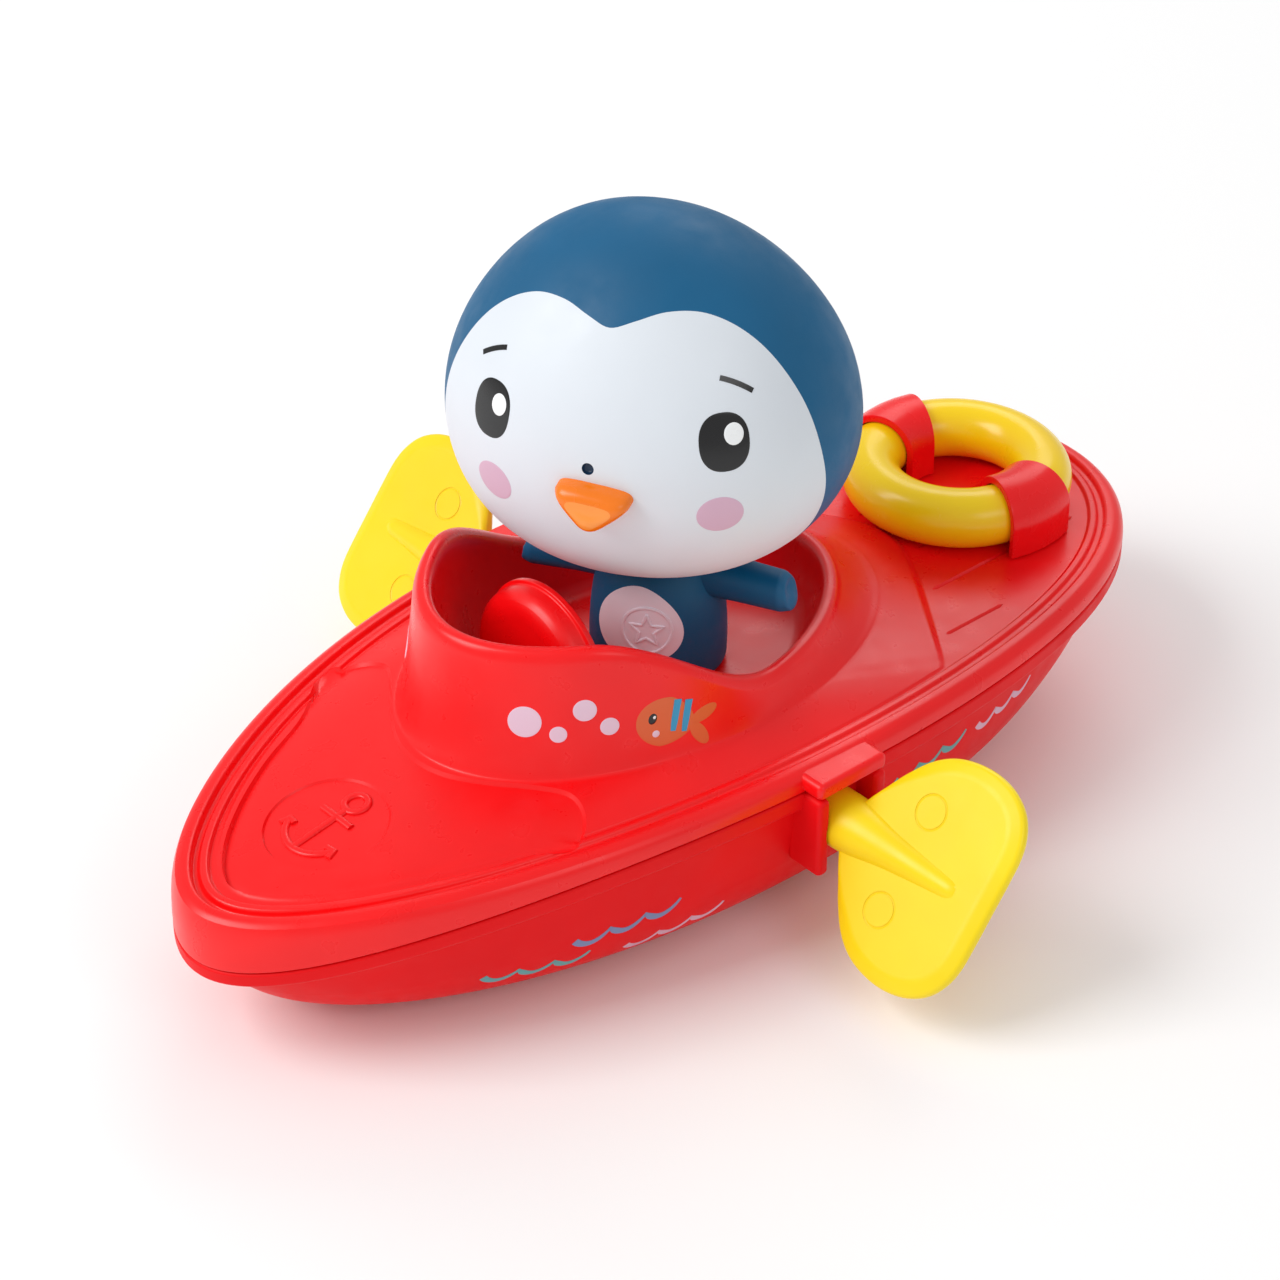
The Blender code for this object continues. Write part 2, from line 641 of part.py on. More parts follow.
def make_buoy(where):
    base = PARTING_Z + TRAY_Z + PARTING_GAP + BUOY_TUBE
    steps = 32
    around = 12
    rings = []
    for k in range(around):
        angle = 2 * math.pi * k / around
        reach = BUOY_R + BUOY_TUBE * math.cos(angle)
        height = base + BUOY_TUBE * math.sin(angle)
        ring = []
        for j in range(steps):
            turn = 2 * math.pi * j / steps
            ring.append((BUOY_X + reach * math.cos(turn), reach * math.sin(turn), height))
        rings.append(ring)
    skin("lifebuoy", rings + [rings[0]], "buoy_yellow", where, capped=False)
    foot = PARTING_Z + TRAY_Z + PARTING_GAP
    for name, heading in (("lifebuoy_strap_port", math.pi / 2), ("lifebuoy_strap_starboard", -math.pi / 2)):
        section = [(7.7, foot - base)]
        for k in range(9):
            angle = math.pi * k / 8
            section.append((7.7 * math.cos(angle), 7.7 * math.sin(angle)))
        section.append((-7.7, foot - base))
        section.append((-6.15, foot - base))
        for k in range(9):
            angle = math.pi - math.pi * k / 8
            section.append((6.15 * math.cos(angle), 6.15 * math.sin(angle)))
        section.append((6.15, foot - base))
        rings = []
        for k in range(7):
            turn = heading + math.radians(-19.0 + 38.0 * k / 6)
            ring = []
            for across, height in section:
                reach = BUOY_R + across
                ring.append((BUOY_X + reach * math.cos(turn), reach * math.sin(turn), base + height))
            rings.append(ring)
        bent_band(name, rings, where)


def bent_band(name, rings, where):
    """A band with an arch-shaped section: its ends are closed by strips across the band's thickness."""
    count = len(rings[0])
    half = count // 2
    points = [p for ring in rings for p in ring]
    faces = []
    for row in range(len(rings) - 1):
        for k in range(count):
            nxt = (k + 1) % count
            faces.append((row * count + k, row * count + nxt, (row + 1) * count + nxt, (row + 1) * count + k))
    for start in (0, (len(rings) - 1) * count):
        for k in range(half - 1):
            faces.append((start + k, start + k + 1, start + count - 2 - k, start + count - 1 - k))
    add_mesh(name, points, faces, "deck_red", where)


def make_console(where):
    """The helm hump across the well: a half disc with a rounded forward edge and a thin lip aft."""
    floor = PARTING_Z + WELL_FLOOR_Z + PARTING_GAP
    rings = []
    for x, radius in ((28.0, 0.0), (28.0, 15.3), (28.4, 16.0), (29.4, 16.0), (29.4, 15.3), (31.6, 15.0), (33.4, 13.9), (34.4, 12.0), (34.4, 0.0)):
        if radius == 0.0:
            continue
        ring = [(x, radius, floor)]
        for k in range(17):
            angle = math.pi * k / 16
            ring.append((x, radius * math.cos(angle), PARTING_Z + 13.0 + radius * math.sin(angle)))
        ring.append((x, -radius, floor))
        rings.append(ring)
    skin("helm_console", rings, "deck_red", where)


# ---------------------------------------------------------------------- figure


def figure_frame():
    return Matrix.Translation((FIGURE_X, 0, 0)) @ Matrix.Rotation(FIGURE_TURN, 4, "Z")


def head_frame():
    """The head sits a little tilted to its right on the neck."""
    neck = Matrix.Translation((0, 0, PARTING_Z + 28.0))
    return figure_frame() @ neck @ Matrix.Rotation(HEAD_TILT, 4, "X") @ neck.inverted()


def make_body(where):
    base = PARTING_Z + WELL_FLOOR_Z + PARTING_GAP
    profile = (
        (4.25, base),
        (12.2, base),
        (13.0, base + 0.9),
        (13.1, base + 6.0),
        (12.7, base + 13.0),
        (11.8, base + 19.0),
        (10.2, base + 23.0),
        (7.6, base + 25.2),
        (5.9, base + 25.6),
        (5.9, base + 30.5),
        (4.0, base + 30.5),
        (4.0, base + 23.5),
        (8.0, base + 20.5),
        (9.8, base + 15.0),
        (10.3, base + 8.0),
        (0.0, base + 7.4),
        (0.0, base + 4.6),
        (4.25, base + 4.6),
    )
    body = turned("figure_body", profile, "vinyl_navy", where, 22, figure_frame())
    for side in (1, -1):
        start = Vector((0, side * 10.8, PARTING_Z + 22.6))
        end = Vector((0, side * 26.0, PARTING_Z + 21.4))
        combine(body, flipper(start, end, side, where), "UNION")


def flipper(start, end, side, where):
    axis = (end - start).normalized()
    up = Vector((0, -axis.z * side, abs(axis.y)))
    out = axis.cross(up)
    rings = []
    for share, wide, tall, slant in ((0.0, 4.2, 3.9, 0.0), (0.55, 4.1, 3.8, 0.0), (0.93, 3.9, 3.6, 0.5), (1.0, 3.1, 2.9, 0.9)):
        centre = start + (end - start) * share
        ring = []
        for k in range(12):
            angle = 2 * math.pi * k / 12
            lean = axis * (slant * math.sin(angle))
            point = centre + out * wide * math.cos(angle) + up * tall * math.sin(angle) - lean
            ring.append(figure_frame() @ point)
        rings.append(ring)
    return skin("flipper", rings, "vinyl_navy", where)


def egg(scale_by, segments, levels, low_hole):
    """Rings of the head's surface from the neck opening up, and the crown point."""
    rings = []
    for k in range(levels):
        start = math.asin(low_hole / (HEAD_HALF[0] * scale_by))
        angle = start + (math.pi - start) * k / levels
        height = -HEAD_HALF[2] * scale_by * math.cos(angle)
        spread = math.sin(angle) * scale_by
        ring = []
        for j in range(segments):
            turn = 2 * math.pi * j / segments
            narrow = 1.0 - 0.07 * max(height / HEAD_HALF[2], 0.0) ** 2
            deep = HEAD_HALF[0] if math.cos(turn) > 0 else HEAD_BACK
            x = deep * spread * math.cos(turn) * narrow
            y = HEAD_HALF[1] * spread * math.sin(turn) * narrow
            point = Vector((x, y, height))
            ring.append(head_frame() @ (point + Vector((1.0, 0, PARTING_Z + HEAD_Z))))
        rings.append(ring)
    return rings


def make_head(where):
    outer = egg(1.0, 24, 13, 8.5)
    inner = egg(0.93, 24, 8, 8.0)
    rings = list(reversed(outer)) + inner
    head = skin("figure_head", rings, "vinyl_navy", where)
    profile = ((0, 0), (6.25, 0), (6.25, 12.0), (0, 12.0))
    hole = turned("neck", profile, "vinyl_navy", where, 24, figure_frame() @ Matrix.Translation((0, 0, PARTING_Z + 22.0)))
    combine(head, hole, "DIFFERENCE")
    combine(head, beak(where), "UNION")


def beak(where):
    """A short rounded triangular beak, wide at the top and pointing a little down."""
    rings = []
    for reach, half_wide, half_tall in ((29.0, 8.2, 5.6), (33.2, 7.6, 5.2), (35.2, 5.8, 4.0), (36.2, 3.0, 2.2)):
        ring = []
        for k in range(16):
            angle = 2 * math.pi * k / 16
            across = half_wide * math.cos(angle) * (1.0 + 0.35 * math.sin(angle))
            tall = half_tall * math.sin(angle)
            drop = -11.5 - 0.18 * (reach - 29.0)
            local = Vector((reach, across, PARTING_Z + HEAD_Z + drop + tall))
            ring.append(head_frame() @ local)
        rings.append(ring)
    return skin("beak", rings, "vinyl_navy", where)


def main():
    clear_scene()
    boat = collection("toy_boat")
    drop_bow(make_hull(boat))
    drop_bow(make_deck(boat))
    make_console(boat)
    make_buoy(boat)
    make_paddle("paddle_port", 1, boat)
    make_paddle("paddle_starboard", -1, boat)
    make_axle(boat)
    make_motor(boat)
    make_case(boat)
    make_hull_screws(boat)
    make_body(boat)
    make_head(boat)


main()
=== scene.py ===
"""Looks of the toy paddle boat and its penguin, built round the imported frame.

Axes: +X bow, +Y port, +Z up, keel on Z = 0. Shapes are worked out in millimetres and
scaled to metres when a piece is finished.
"""

import json
import math

import bmesh
import bpy
from mathutils import Matrix, Vector
from mathutils.bvhtree import BVHTree

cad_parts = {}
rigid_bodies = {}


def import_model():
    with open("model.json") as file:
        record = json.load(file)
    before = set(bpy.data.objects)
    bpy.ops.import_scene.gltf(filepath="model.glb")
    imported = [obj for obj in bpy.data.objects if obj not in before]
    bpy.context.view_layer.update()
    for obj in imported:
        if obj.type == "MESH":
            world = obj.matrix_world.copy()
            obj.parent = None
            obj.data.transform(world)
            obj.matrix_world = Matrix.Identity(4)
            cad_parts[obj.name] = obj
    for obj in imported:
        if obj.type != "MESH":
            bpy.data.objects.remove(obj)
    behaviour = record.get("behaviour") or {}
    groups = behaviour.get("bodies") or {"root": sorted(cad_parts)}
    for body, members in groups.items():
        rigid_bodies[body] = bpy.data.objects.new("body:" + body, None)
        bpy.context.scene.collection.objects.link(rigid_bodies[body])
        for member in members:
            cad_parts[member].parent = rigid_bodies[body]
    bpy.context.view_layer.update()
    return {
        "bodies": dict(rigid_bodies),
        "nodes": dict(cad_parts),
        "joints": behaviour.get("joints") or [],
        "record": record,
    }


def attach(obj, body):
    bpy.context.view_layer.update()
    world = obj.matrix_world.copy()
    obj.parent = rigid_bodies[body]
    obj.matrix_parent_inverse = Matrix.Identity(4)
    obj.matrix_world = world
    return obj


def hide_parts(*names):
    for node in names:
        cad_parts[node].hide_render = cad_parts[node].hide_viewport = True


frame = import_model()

MM = 0.001
UP = Vector((0, 0, 1))

# Hull and deck
LENGTH = 222.0
HALF_BEAM = 49.0
PARTING_Z = 34.0
PARTING_GAP = 0.3
BOW_DROP = 6.5
SEAM_DROP = 6.5
WALL = 2.0
STATIONS = 240
RIM_TOP = 4.2
BEAD_TOP = 3.9
TRAY_Z = 3.2
APRON_Z = 4.4
COWL_FOOT_Z = 7.0

# Cockpit
WELL_X = 8.2
WELL_HALF_LENGTH = 42.3
WELL_HALF_BREADTH = 28.6
WELL_FLOOR_Z = 2.0
PEG_R = 4.0
BADGE_X = 80.5
BADGE_R = 11.2

# Paddle drive
AXLE_X = 2.0
AXLE_Z = 26.0
PADDLE_TILT = math.radians(38.0)
BLADE_TIP = 88.5
HUB_R = 5.5
HUB_START = 48.3

# Lifebuoy
BUOY_X = -78.5
BUOY_R = 17.2
BUOY_TUBE = 5.9

# How far a print's hidden side lies below the surface
PRINT_DEPTH = 0.12

# Figure
FIGURE_X = 1.5
FIGURE_TURN = math.radians(29.0)
HEAD_TILT = math.radians(1.5)
HEAD_Z = 62.0
HEAD_HALF = (33.0, 38.0, 34.5)
HEAD_BACK = 28.0
FACE_YAW = math.radians(1.8)

SCREW_PLACES = ((60.0, 11.0), (60.0, -11.0), (-63.0, 12.0), (-63.0, -12.0))


# ---- materials


def new_material(name):
    made = bpy.data.materials.new(name)
    made.use_nodes = True
    return made, made.node_tree.nodes, made.node_tree.links


def noise(nodes, links, coordinates, scale, detail):
    """A noise texture in the piece's own coordinates. Scale is per metre."""
    made = nodes.new("ShaderNodeTexNoise")
    made.inputs["Scale"].default_value = scale
    made.inputs["Detail"].default_value = detail
    links.new(coordinates, made.inputs["Vector"])
    return made.outputs["Fac"]


def remap(nodes, links, value, low, high):
    """Spreads the middle of a noise over the range from low to high."""
    made = nodes.new("ShaderNodeMapRange")
    made.inputs["From Min"].default_value = 0.3
    made.inputs["From Max"].default_value = 0.7
    made.inputs["To Min"].default_value = low
    made.inputs["To Max"].default_value = high
    links.new(value, made.inputs["Value"])
    return made.outputs["Result"]


# Noise cells per metre
DRIFT_SCALE = 38.0
SCUFF_SCALE = 210.0
GRAIN_SCALE = 2600.0


def moulded(name, colour, rough, vary=0.05, grain=0.02, metal=0.0, gloss=0.5):
    """Moulded or painted surface: slight colour drift, uneven gloss with faint scuffs, and a fine grain."""
    made, nodes, links = new_material(name)
    shader = nodes["Principled BSDF"]
    place = nodes.new("ShaderNodeTexCoord").outputs["Object"]
    drift = noise(nodes, links, place, DRIFT_SCALE, 3.0)
    tint = nodes.new("ShaderNodeMix")
    tint.data_type = "RGBA"
    tint.inputs[6].default_value = tuple(c * (1 - vary) for c in colour) + (1.0,)
    tint.inputs[7].default_value = tuple(min(1.0, c * (1 + vary)) for c in colour) + (1.0,)
    links.new(remap(nodes, links, drift, 0.0, 1.0), tint.inputs[0])
    links.new(tint.outputs[2], shader.inputs["Base Color"])
    scuffs = noise(nodes, links, place, SCUFF_SCALE, 6.0)
    links.new(remap(nodes, links, scuffs, rough * 0.86, rough * 1.18), shader.inputs["Roughness"])
    bump = nodes.new("ShaderNodeBump")
    bump.inputs["Strength"].default_value = grain
    bump.inputs["Distance"].default_value = 0.00012
    links.new(noise(nodes, links, place, GRAIN_SCALE, 2.0), bump.inputs["Height"])
    links.new(bump.outputs["Normal"], shader.inputs["Normal"])
    shader.inputs["Metallic"].default_value = metal
    shader.inputs["Specular IOR Level"].default_value = gloss
    return made


DECK_RED = moulded("deck_red", (0.93, 0.003, 0.005), 0.30, grain=0.03, gloss=0.42)
HULL_RED = moulded("hull_red", (0.82, 0.004, 0.007), 0.42, grain=0.05, gloss=0.14)
YELLOW = moulded("paddle_yellow", (0.97, 0.72, 0.004), 0.36, grain=0.03, gloss=0.4)
BUOY_YELLOW = moulded("lifebuoy_yellow", (1.0, 0.66, 0.003), 0.24, grain=0.02, gloss=0.45)
STRAP_RED = moulded("strap_red", (0.93, 0.004, 0.007), 0.26, grain=0.03, gloss=0.36)
VINYL_NAVY = moulded("vinyl_navy", (0.001, 0.105, 0.24), 0.52, vary=0.08, grain=0.12, gloss=0.36)
FACE_WHITE = moulded("face_white", (0.72, 0.765, 0.82), 0.48, vary=0.02, grain=0.08)
BELLY_PINK = moulded("belly_pink", (0.94, 0.84, 0.92), 0.5, vary=0.03, grain=0.08)
BEAK_ORANGE = moulded("beak_orange", (0.93, 0.20, 0.003), 0.25, vary=0.06)
# Paler orange for the beak's flat front: a painted highlight on the glossy plastic.
BEAK_PAINTED_HIGHLIGHT = moulded("beak_light", (0.97, 0.31, 0.045), 0.22, vary=0.04)
# The vinyl's navy, made far darker as painted shade inside the nostril's hole.
NOSTRIL_NAVY_AND_SHADE = moulded("nostril_navy", (0.006, 0.03, 0.08), 0.4)
EYE_BLACK = moulded("eye_black", (0.008, 0.008, 0.009), 0.20, vary=0.1)
EYE_WHITE = moulded("eye_white", (0.90, 0.92, 0.93), 0.25, vary=0.02)
CHEEK_PINK = moulded("cheek_pink", (0.66, 0.42, 0.55), 0.48, vary=0.05)
PRINT_PINK = moulded("print_pink", (0.80, 0.62, 0.76), 0.35, vary=0.03)
PRINT_ORANGE = moulded("print_orange", (0.74, 0.13, 0.030), 0.35, vary=0.05)
PRINT_BLUE = moulded("print_blue", (0.02, 0.34, 0.62), 0.35, vary=0.05)
PRINT_TEAL = moulded("print_teal", (0.10, 0.38, 0.40), 0.35, vary=0.05)
PRINT_SLATE = moulded("print_slate", (0.18, 0.25, 0.46), 0.35, vary=0.05)
PRINT_ROSE = moulded("print_rose", (0.72, 0.44, 0.58), 0.35, vary=0.05)
STEEL = moulded("steel", (0.60, 0.61, 0.63), 0.28, vary=0.06, grain=0.1, metal=1.0)
SPRING_STEEL = moulded("spring_steel", (0.32, 0.34, 0.38), 0.34, vary=0.12, grain=0.1, metal=1.0)
GEAR_WHITE = moulded("gear_white", (0.80, 0.79, 0.74), 0.42, vary=0.03)
CASE_GREY = moulded("case_grey", (0.30, 0.31, 0.33), 0.44, vary=0.05, grain=0.08)
SEAL_BLACK = moulded("seal_black", (0.02, 0.02, 0.02), 0.62, vary=0.1, grain=0.15)


# ---- mesh making


def new_object(name, data):
    obj = bpy.data.objects.new(name, data)
    bpy.context.scene.collection.objects.link(obj)
    return obj


def add_mesh(name, points, faces, *materials):
    """A mesh object from millimetre points; scaling to metres comes last, in finish_piece."""
    mesh = bpy.data.meshes.new(name)
    shape = bmesh.new()
    verts = [shape.verts.new(Vector(p)) for p in points]
    for face in faces:
        slot = 0
        if isinstance(face[0], tuple):
            face, slot = face
        corners = []
        for index in face:
            if verts[index] not in corners:
                corners.append(verts[index])
        if len(corners) > 2:
            shape.faces.new(corners).material_index = slot
    bmesh.ops.remove_doubles(shape, verts=shape.verts[:], dist=1e-4)
    bmesh.ops.recalc_face_normals(shape, faces=shape.faces[:])
    shape.to_mesh(mesh)
    shape.free()
    for material in materials:
        mesh.materials.append(material)
    return new_object(name, mesh)


def skin(name, rings, *materials, capped=True, slots=None):
    """A loft through rings of equal length, closed on a centre point at each end."""
    count = len(rings[0])
    points = [p for ring in rings for p in ring]
    faces = []
    for row in range(len(rings) - 1):
        slot = slots[row] if slots else 0
        a = row * count
        b = a + count
        for k in range(count):
            nxt = (k + 1) % count
            faces.append(((a + k, a + nxt, b + nxt, b + k), slot))
    if capped:
        for ring, start, row in ((rings[0], 0, 0), (rings[-1], (len(rings) - 1) * count, -1)):
            points.append(sum((Vector(p) for p in ring), Vector()) / count)
            slot = slots[row] if slots else 0
            for k in range(count):
                faces.append(((start + k, start + (k + 1) % count, len(points) - 1), slot))
    return add_mesh(name, points, faces, *materials)


def soften(pairs, steps=4):
    """Rings for a loft from (ring, radius) pairs: the corner at a ring is rounded where its radius isn't 0."""
    made = []
    for i, (ring, radius) in enumerate(pairs):
        if not radius or i in (0, len(pairs) - 1):
            made.append([Vector(p) for p in ring])
            continue
        arc = [[] for _ in range(steps + 1)]
        for k, point in enumerate(ring):
            point = Vector(point)
            back = Vector(pairs[i - 1][0][k]) - point
            ahead = Vector(pairs[i + 1][0][k]) - point
            start = point + back * min(radius / max(back.length, 1e-6), 0.49)
            end = point + ahead * min(radius / max(ahead.length, 1e-6), 0.49)
            for s in range(steps + 1):
                t = s / steps
                arc[s].append(start * (1 - t) ** 2 + point * 2 * t * (1 - t) + end * t * t)
        made.extend(arc)
    return made


def curve_through(handles, per_span):
    """A closed smooth curve through 2-D handles."""
    count = len(handles)
    made = []
    for i in range(count):
        p0, p1, p2, p3 = (Vector(handles[(i + j) % count]) for j in (-1, 0, 1, 2))
        for s in range(per_span):
            t = s / per_span
            square = (2 * p0 - 5 * p1 + 4 * p2 - p3) * t * t
            cube = (3 * p1 - p0 - 3 * p2 + p3) * t**3
            made.append(0.5 * (2 * p1 + (p2 - p0) * t + square + cube))
    return made


def between(handles, x):
    """Smooth value at x through (x, value) handles."""
    for i in range(len(handles) - 1):
        x1, y1 = handles[i]
        x2, y2 = handles[i + 1]
        if x <= x2 or i == len(handles) - 2:
            y0 = handles[i - 1][1] if i else handles[1][1]
            x0 = handles[i - 1][0] if i else 2 * x1 - handles[1][0]
            y3 = handles[i + 2][1] if i + 2 < len(handles) else handles[i][1]
            x3 = handles[i + 2][0] if i + 2 < len(handles) else 2 * x2 - x1
            t = (x - x1) / (x2 - x1)
            m1 = (y2 - y0) / (x2 - x0) * (x2 - x1)
            m2 = (y3 - y1) / (x3 - x1) * (x2 - x1)
            return (
                (2 * t**3 - 3 * t**2 + 1) * y1
                + (t**3 - 2 * t**2 + t) * m1
                + (3 * t**2 - 2 * t**3) * y2
                + (t**3 - t**2) * m2
            )
    return handles[-1][1]


def angles(count):
    return [2 * math.pi * k / count for k in range(count)]


def polar(radius, turn):
    return (radius * math.cos(turn), radius * math.sin(turn))


def level_way(turn):
    return Vector((math.cos(turn), math.sin(turn), 0))


def turned(name, profile, frame, steps=64, *materials):
    """A closed (radius, height) profile turned about the Z axis of frame."""
    points = []
    for turn in angles(steps):
        for radius, height in profile:
            points.append(frame @ Vector((*polar(radius, turn), height)))
    size = len(profile)
    faces = []
    for k in range(steps):
        a = k * size
        b = ((k + 1) % steps) * size
        for j in range(size):
            nxt = (j + 1) % size
            if profile[j][0] == 0 and profile[nxt][0] == 0:
                continue
            faces.append((a + j, a + nxt, b + nxt, b + j))
    return add_mesh(name, points, faces, *materials)


def rod(radius, low, high, frame, steps, *materials):
    """A plain round cutter or filling, which becomes part of a larger piece."""
    return turned("rod", ((0, low), (radius, low), (radius, high), (0, high)), frame, steps, *materials)


def rounded_profile(profile, radii):
    """Rounds corners of an open (radius, height) profile."""
    pairs = [([Vector((r, h, 0))], radius) for (r, h), radius in zip(profile, radii)]
    return [(ring[0].x, ring[0].y) for ring in soften(pairs, 5)]


def side_block(side, x_range, y_range, z_range, bevel):
    """A rounded block beside the hull: x counts from the axle, and side is 1 for port."""
    low_y, high_y = sorted(side * y for y in y_range)
    low = Vector((AXLE_X + x_range[0], low_y, z_range[0]))
    high = Vector((AXLE_X + x_range[1], high_y, z_range[1]))
    shape = bmesh.new()
    bmesh.ops.create_cube(shape, size=1.0)
    for vert in shape.verts:
        vert.co = Matrix.Diagonal(high - low) @ vert.co + (high + low) / 2
    if bevel:
        bmesh.ops.bevel(shape, geom=shape.edges[:], offset=bevel, segments=5, affect="EDGES", profile=0.5)
    mesh = bpy.data.meshes.new("block")
    shape.to_mesh(mesh)
    shape.free()
    return new_object("block", mesh)


def bake(obj):
    graph = bpy.context.evaluated_depsgraph_get()
    mesh = bpy.data.meshes.new_from_object(obj.evaluated_get(graph))
    obj.modifiers.clear()
    obj.data = mesh


def combine(obj, others, operation):
    """Boolean with the others, which don't touch each other, in one step."""
    if not isinstance(others, list):
        others = [others]
    tool = join(others)
    step = obj.modifiers.new(operation.lower(), "BOOLEAN")
    step.operation = operation
    step.solver = "EXACT"
    step.material_mode = "TRANSFER"
    step.object = tool
    bake(obj)
    shape = bmesh.new()
    shape.from_mesh(obj.data)
    bmesh.ops.remove_doubles(shape, verts=shape.verts[:], dist=2e-3)
    bmesh.ops.dissolve_degenerate(shape, edges=shape.edges[:], dist=2e-3)
    shape.to_mesh(obj.data)
    shape.free()
    bpy.data.objects.remove(tool, do_unlink=True)
    return obj


def join(objects):
    """One object from several, keeping each one's materials."""
    if len(objects) == 1:
        return objects[0]
    materials = []
    shape = bmesh.new()
    for obj in objects:
        start = len(shape.faces)
        shape.from_mesh(obj.data)
        own = list(obj.data.materials)
        shape.faces.ensure_lookup_table()
        for face in shape.faces[start:]:
            material = own[face.material_index] if own else None
            if material not in materials:
                materials.append(material)
            face.material_index = materials.index(material)
    mesh = bpy.data.meshes.new(objects[0].name)
    shape.to_mesh(mesh)
    shape.free()
    first = objects[0]
    first.data = mesh
    for material in materials:
        if material is not None:
            mesh.materials.append(material)
    for obj in objects[1:]:
        bpy.data.objects.remove(obj, do_unlink=True)
    return first


def along_y(x, y, z, side=1):
    """A frame whose Z axis runs along +Y, or -Y for side -1."""
    return Matrix.Translation((x, y, z)) @ Matrix.Rotation(-side * math.pi / 2, 4, "X")


def drop_bow(obj):
    """The rim and deck fall gently towards the bow, while the keel stays flat."""
    for vert in obj.data.vertices:
        x = vert.co.x - 20.0
        if x > 0:
            height = vert.co.z
            share = min(max(height / PARTING_Z, 0.0), 1.0)
            # The parting line falls further than the rim, and the hull's bottom doesn't
            seam = min(max((height - 24.0) / 5.0, 0.0), 1.0) * min(max((37.5 - height) / 3.0, 0.0), 1.0)
            vert.co.z -= BOW_DROP * (x / 91.0) ** 2 * share + SEAM_DROP * (x / 91.0) ** 2.5 * seam
    return obj


def tree_of(obj):
    return BVHTree.FromPolygons([v.co.copy() for v in obj.data.vertices], [p.vertices[:] for p in obj.data.polygons])


def finish_piece(obj, body, nodes=(), sharp=38.0, weighted=True):
    """Scales to metres, smooths the shading and ties the piece to its body."""
    obj.data.transform(Matrix.Scale(MM, 4))
    for polygon in obj.data.polygons:
        polygon.use_smooth = True
    obj.data.set_sharp_from_angle(angle=math.radians(sharp))
    if weighted:
        even = obj.modifiers.new("even_shading", "WEIGHTED_NORMAL")
        even.keep_sharp = True
    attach(obj, body)
    if nodes:
        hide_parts(*nodes)


def finish_prints(parts, name, body):
    """Joins small parts into one piece on a body."""
    piece = join(parts)
    piece.name = name
    finish_piece(piece, body, weighted=False)


# ---- prints on the surface


class Patch:
    """A plane set against a surface: points on it are dropped onto the surface along the plane's normal."""

    def __init__(self, tree, centre, normal, upward=UP):
        self.tree = tree
        self.out = Vector(normal).normalized()
        self.across = Vector(upward).cross(self.out).normalized()
        self.up = self.out.cross(self.across).normalized()
        self.centre = Vector(centre)

    def place(self, a, b):
        start = self.centre + self.across * a + self.up * b + self.out * 12.0
        point, normal, _, _ = self.tree.ray_cast(start, -self.out, 40.0)
        if point is None:
            point = start - self.out * 12.0
            normal = self.out
        if normal.dot(self.out) < 0:
            normal = -normal
        return point, normal


def closed_patch(name, tops, bottoms, count, material):
    """A thin closed piece between two matching fans: a middle point, then rows of count points."""
    rows = (len(tops) - 1) // count
    under = len(tops)
    faces = []
    for k in range(count):
        nxt = (k + 1) % count
        faces.append((0, 1 + k, 1 + nxt))
        faces.append((under, under + 1 + nxt, under + 1 + k))
        for row in range(rows - 1):
            a = 1 + row * count
            b = a + count
            faces.append((a + k, b + k, b + nxt, a + nxt))
            faces.append((under + a + k, under + a + nxt, under + b + nxt, under + b + k))
        edge = 1 + (rows - 1) * count
        faces.append((edge + k, under + edge + k, under + edge + nxt, edge + nxt))
    return add_mesh(name, tops + bottoms, faces, material)


def printed(name, patch, outline, material, lift=0.05, rings=7, centre=(0.0, 0.0)):
    """A thin closed patch over a star-shaped outline, laid on the surface."""
    middle = Vector(centre)
    point, normal = patch.place(*middle)
    tops = [point + normal * lift]
    bottoms = [point - normal * PRINT_DEPTH]
    for row in range(1, rings + 1):
        share = math.sin(row / rings * math.pi / 2)
        rise = lift if row < rings else lift * 0.6
        for a, b in outline:
            point, normal = patch.place(*(middle + (Vector((a, b)) - middle) * share))
            tops.append(point + normal * rise)
            bottoms.append(point - normal * PRINT_DEPTH)
    return closed_patch(name, tops, bottoms, len(outline), material)


def swept(name, patch, path, halves, section, material):
    """A bar along a 2-D path: section holds (share of the half width, height above the surface) pairs."""
    rings = []
    for i, spot in enumerate(path):
        before = Vector(path[max(i - 1, 0)])
        after = Vector(path[min(i + 1, len(path) - 1)])
        along = (after - before).normalized()
        side = Vector((-along.y, along.x)) * halves[i]
        ring = []
        for share, level in section:
            point, normal = patch.place(*(Vector(spot) + side * share))
            ring.append(point + normal * level)
        rings.append(ring)
    return skin(name, rings, material)


def stroke(name, patch, path, widths, material, lift=0.05):
    """A thin closed ribbon of changing width along a 2-D path on the surface."""
    section = ((-1, lift), (-0.4, lift), (0.4, lift), (1, lift), (1, -PRINT_DEPTH), (-1, -PRINT_DEPTH))
    return swept(name, patch, path, [width / 2 for width in widths], section, material)


def tilted(a, b, lean):
    return (a * math.cos(lean) - b * math.sin(lean), a * math.sin(lean) + b * math.cos(lean))


def oval_print(name, patch, halves, material, centre=(0.0, 0.0), power=2.0, count=48, lean=0.0, **rest):
    """A printed oval; a power above 2 squares it off."""
    outline = []
    for turn in angles(count):
        c = math.cos(turn)
        s = math.sin(turn)
        a = halves[0] * math.copysign(abs(c) ** (2 / power), c)
        b = halves[1] * math.copysign(abs(s) ** (2 / power), s)
        x, y = tilted(a, b, lean)
        outline.append((centre[0] + x, centre[1] + y))
    return printed(name, patch, outline, material, centre=centre, **rest)


# ---- plan curves


def smooth(value):
    value = min(max(value, 0.0), 1.0)
    return value * value * (3 - 2 * value)


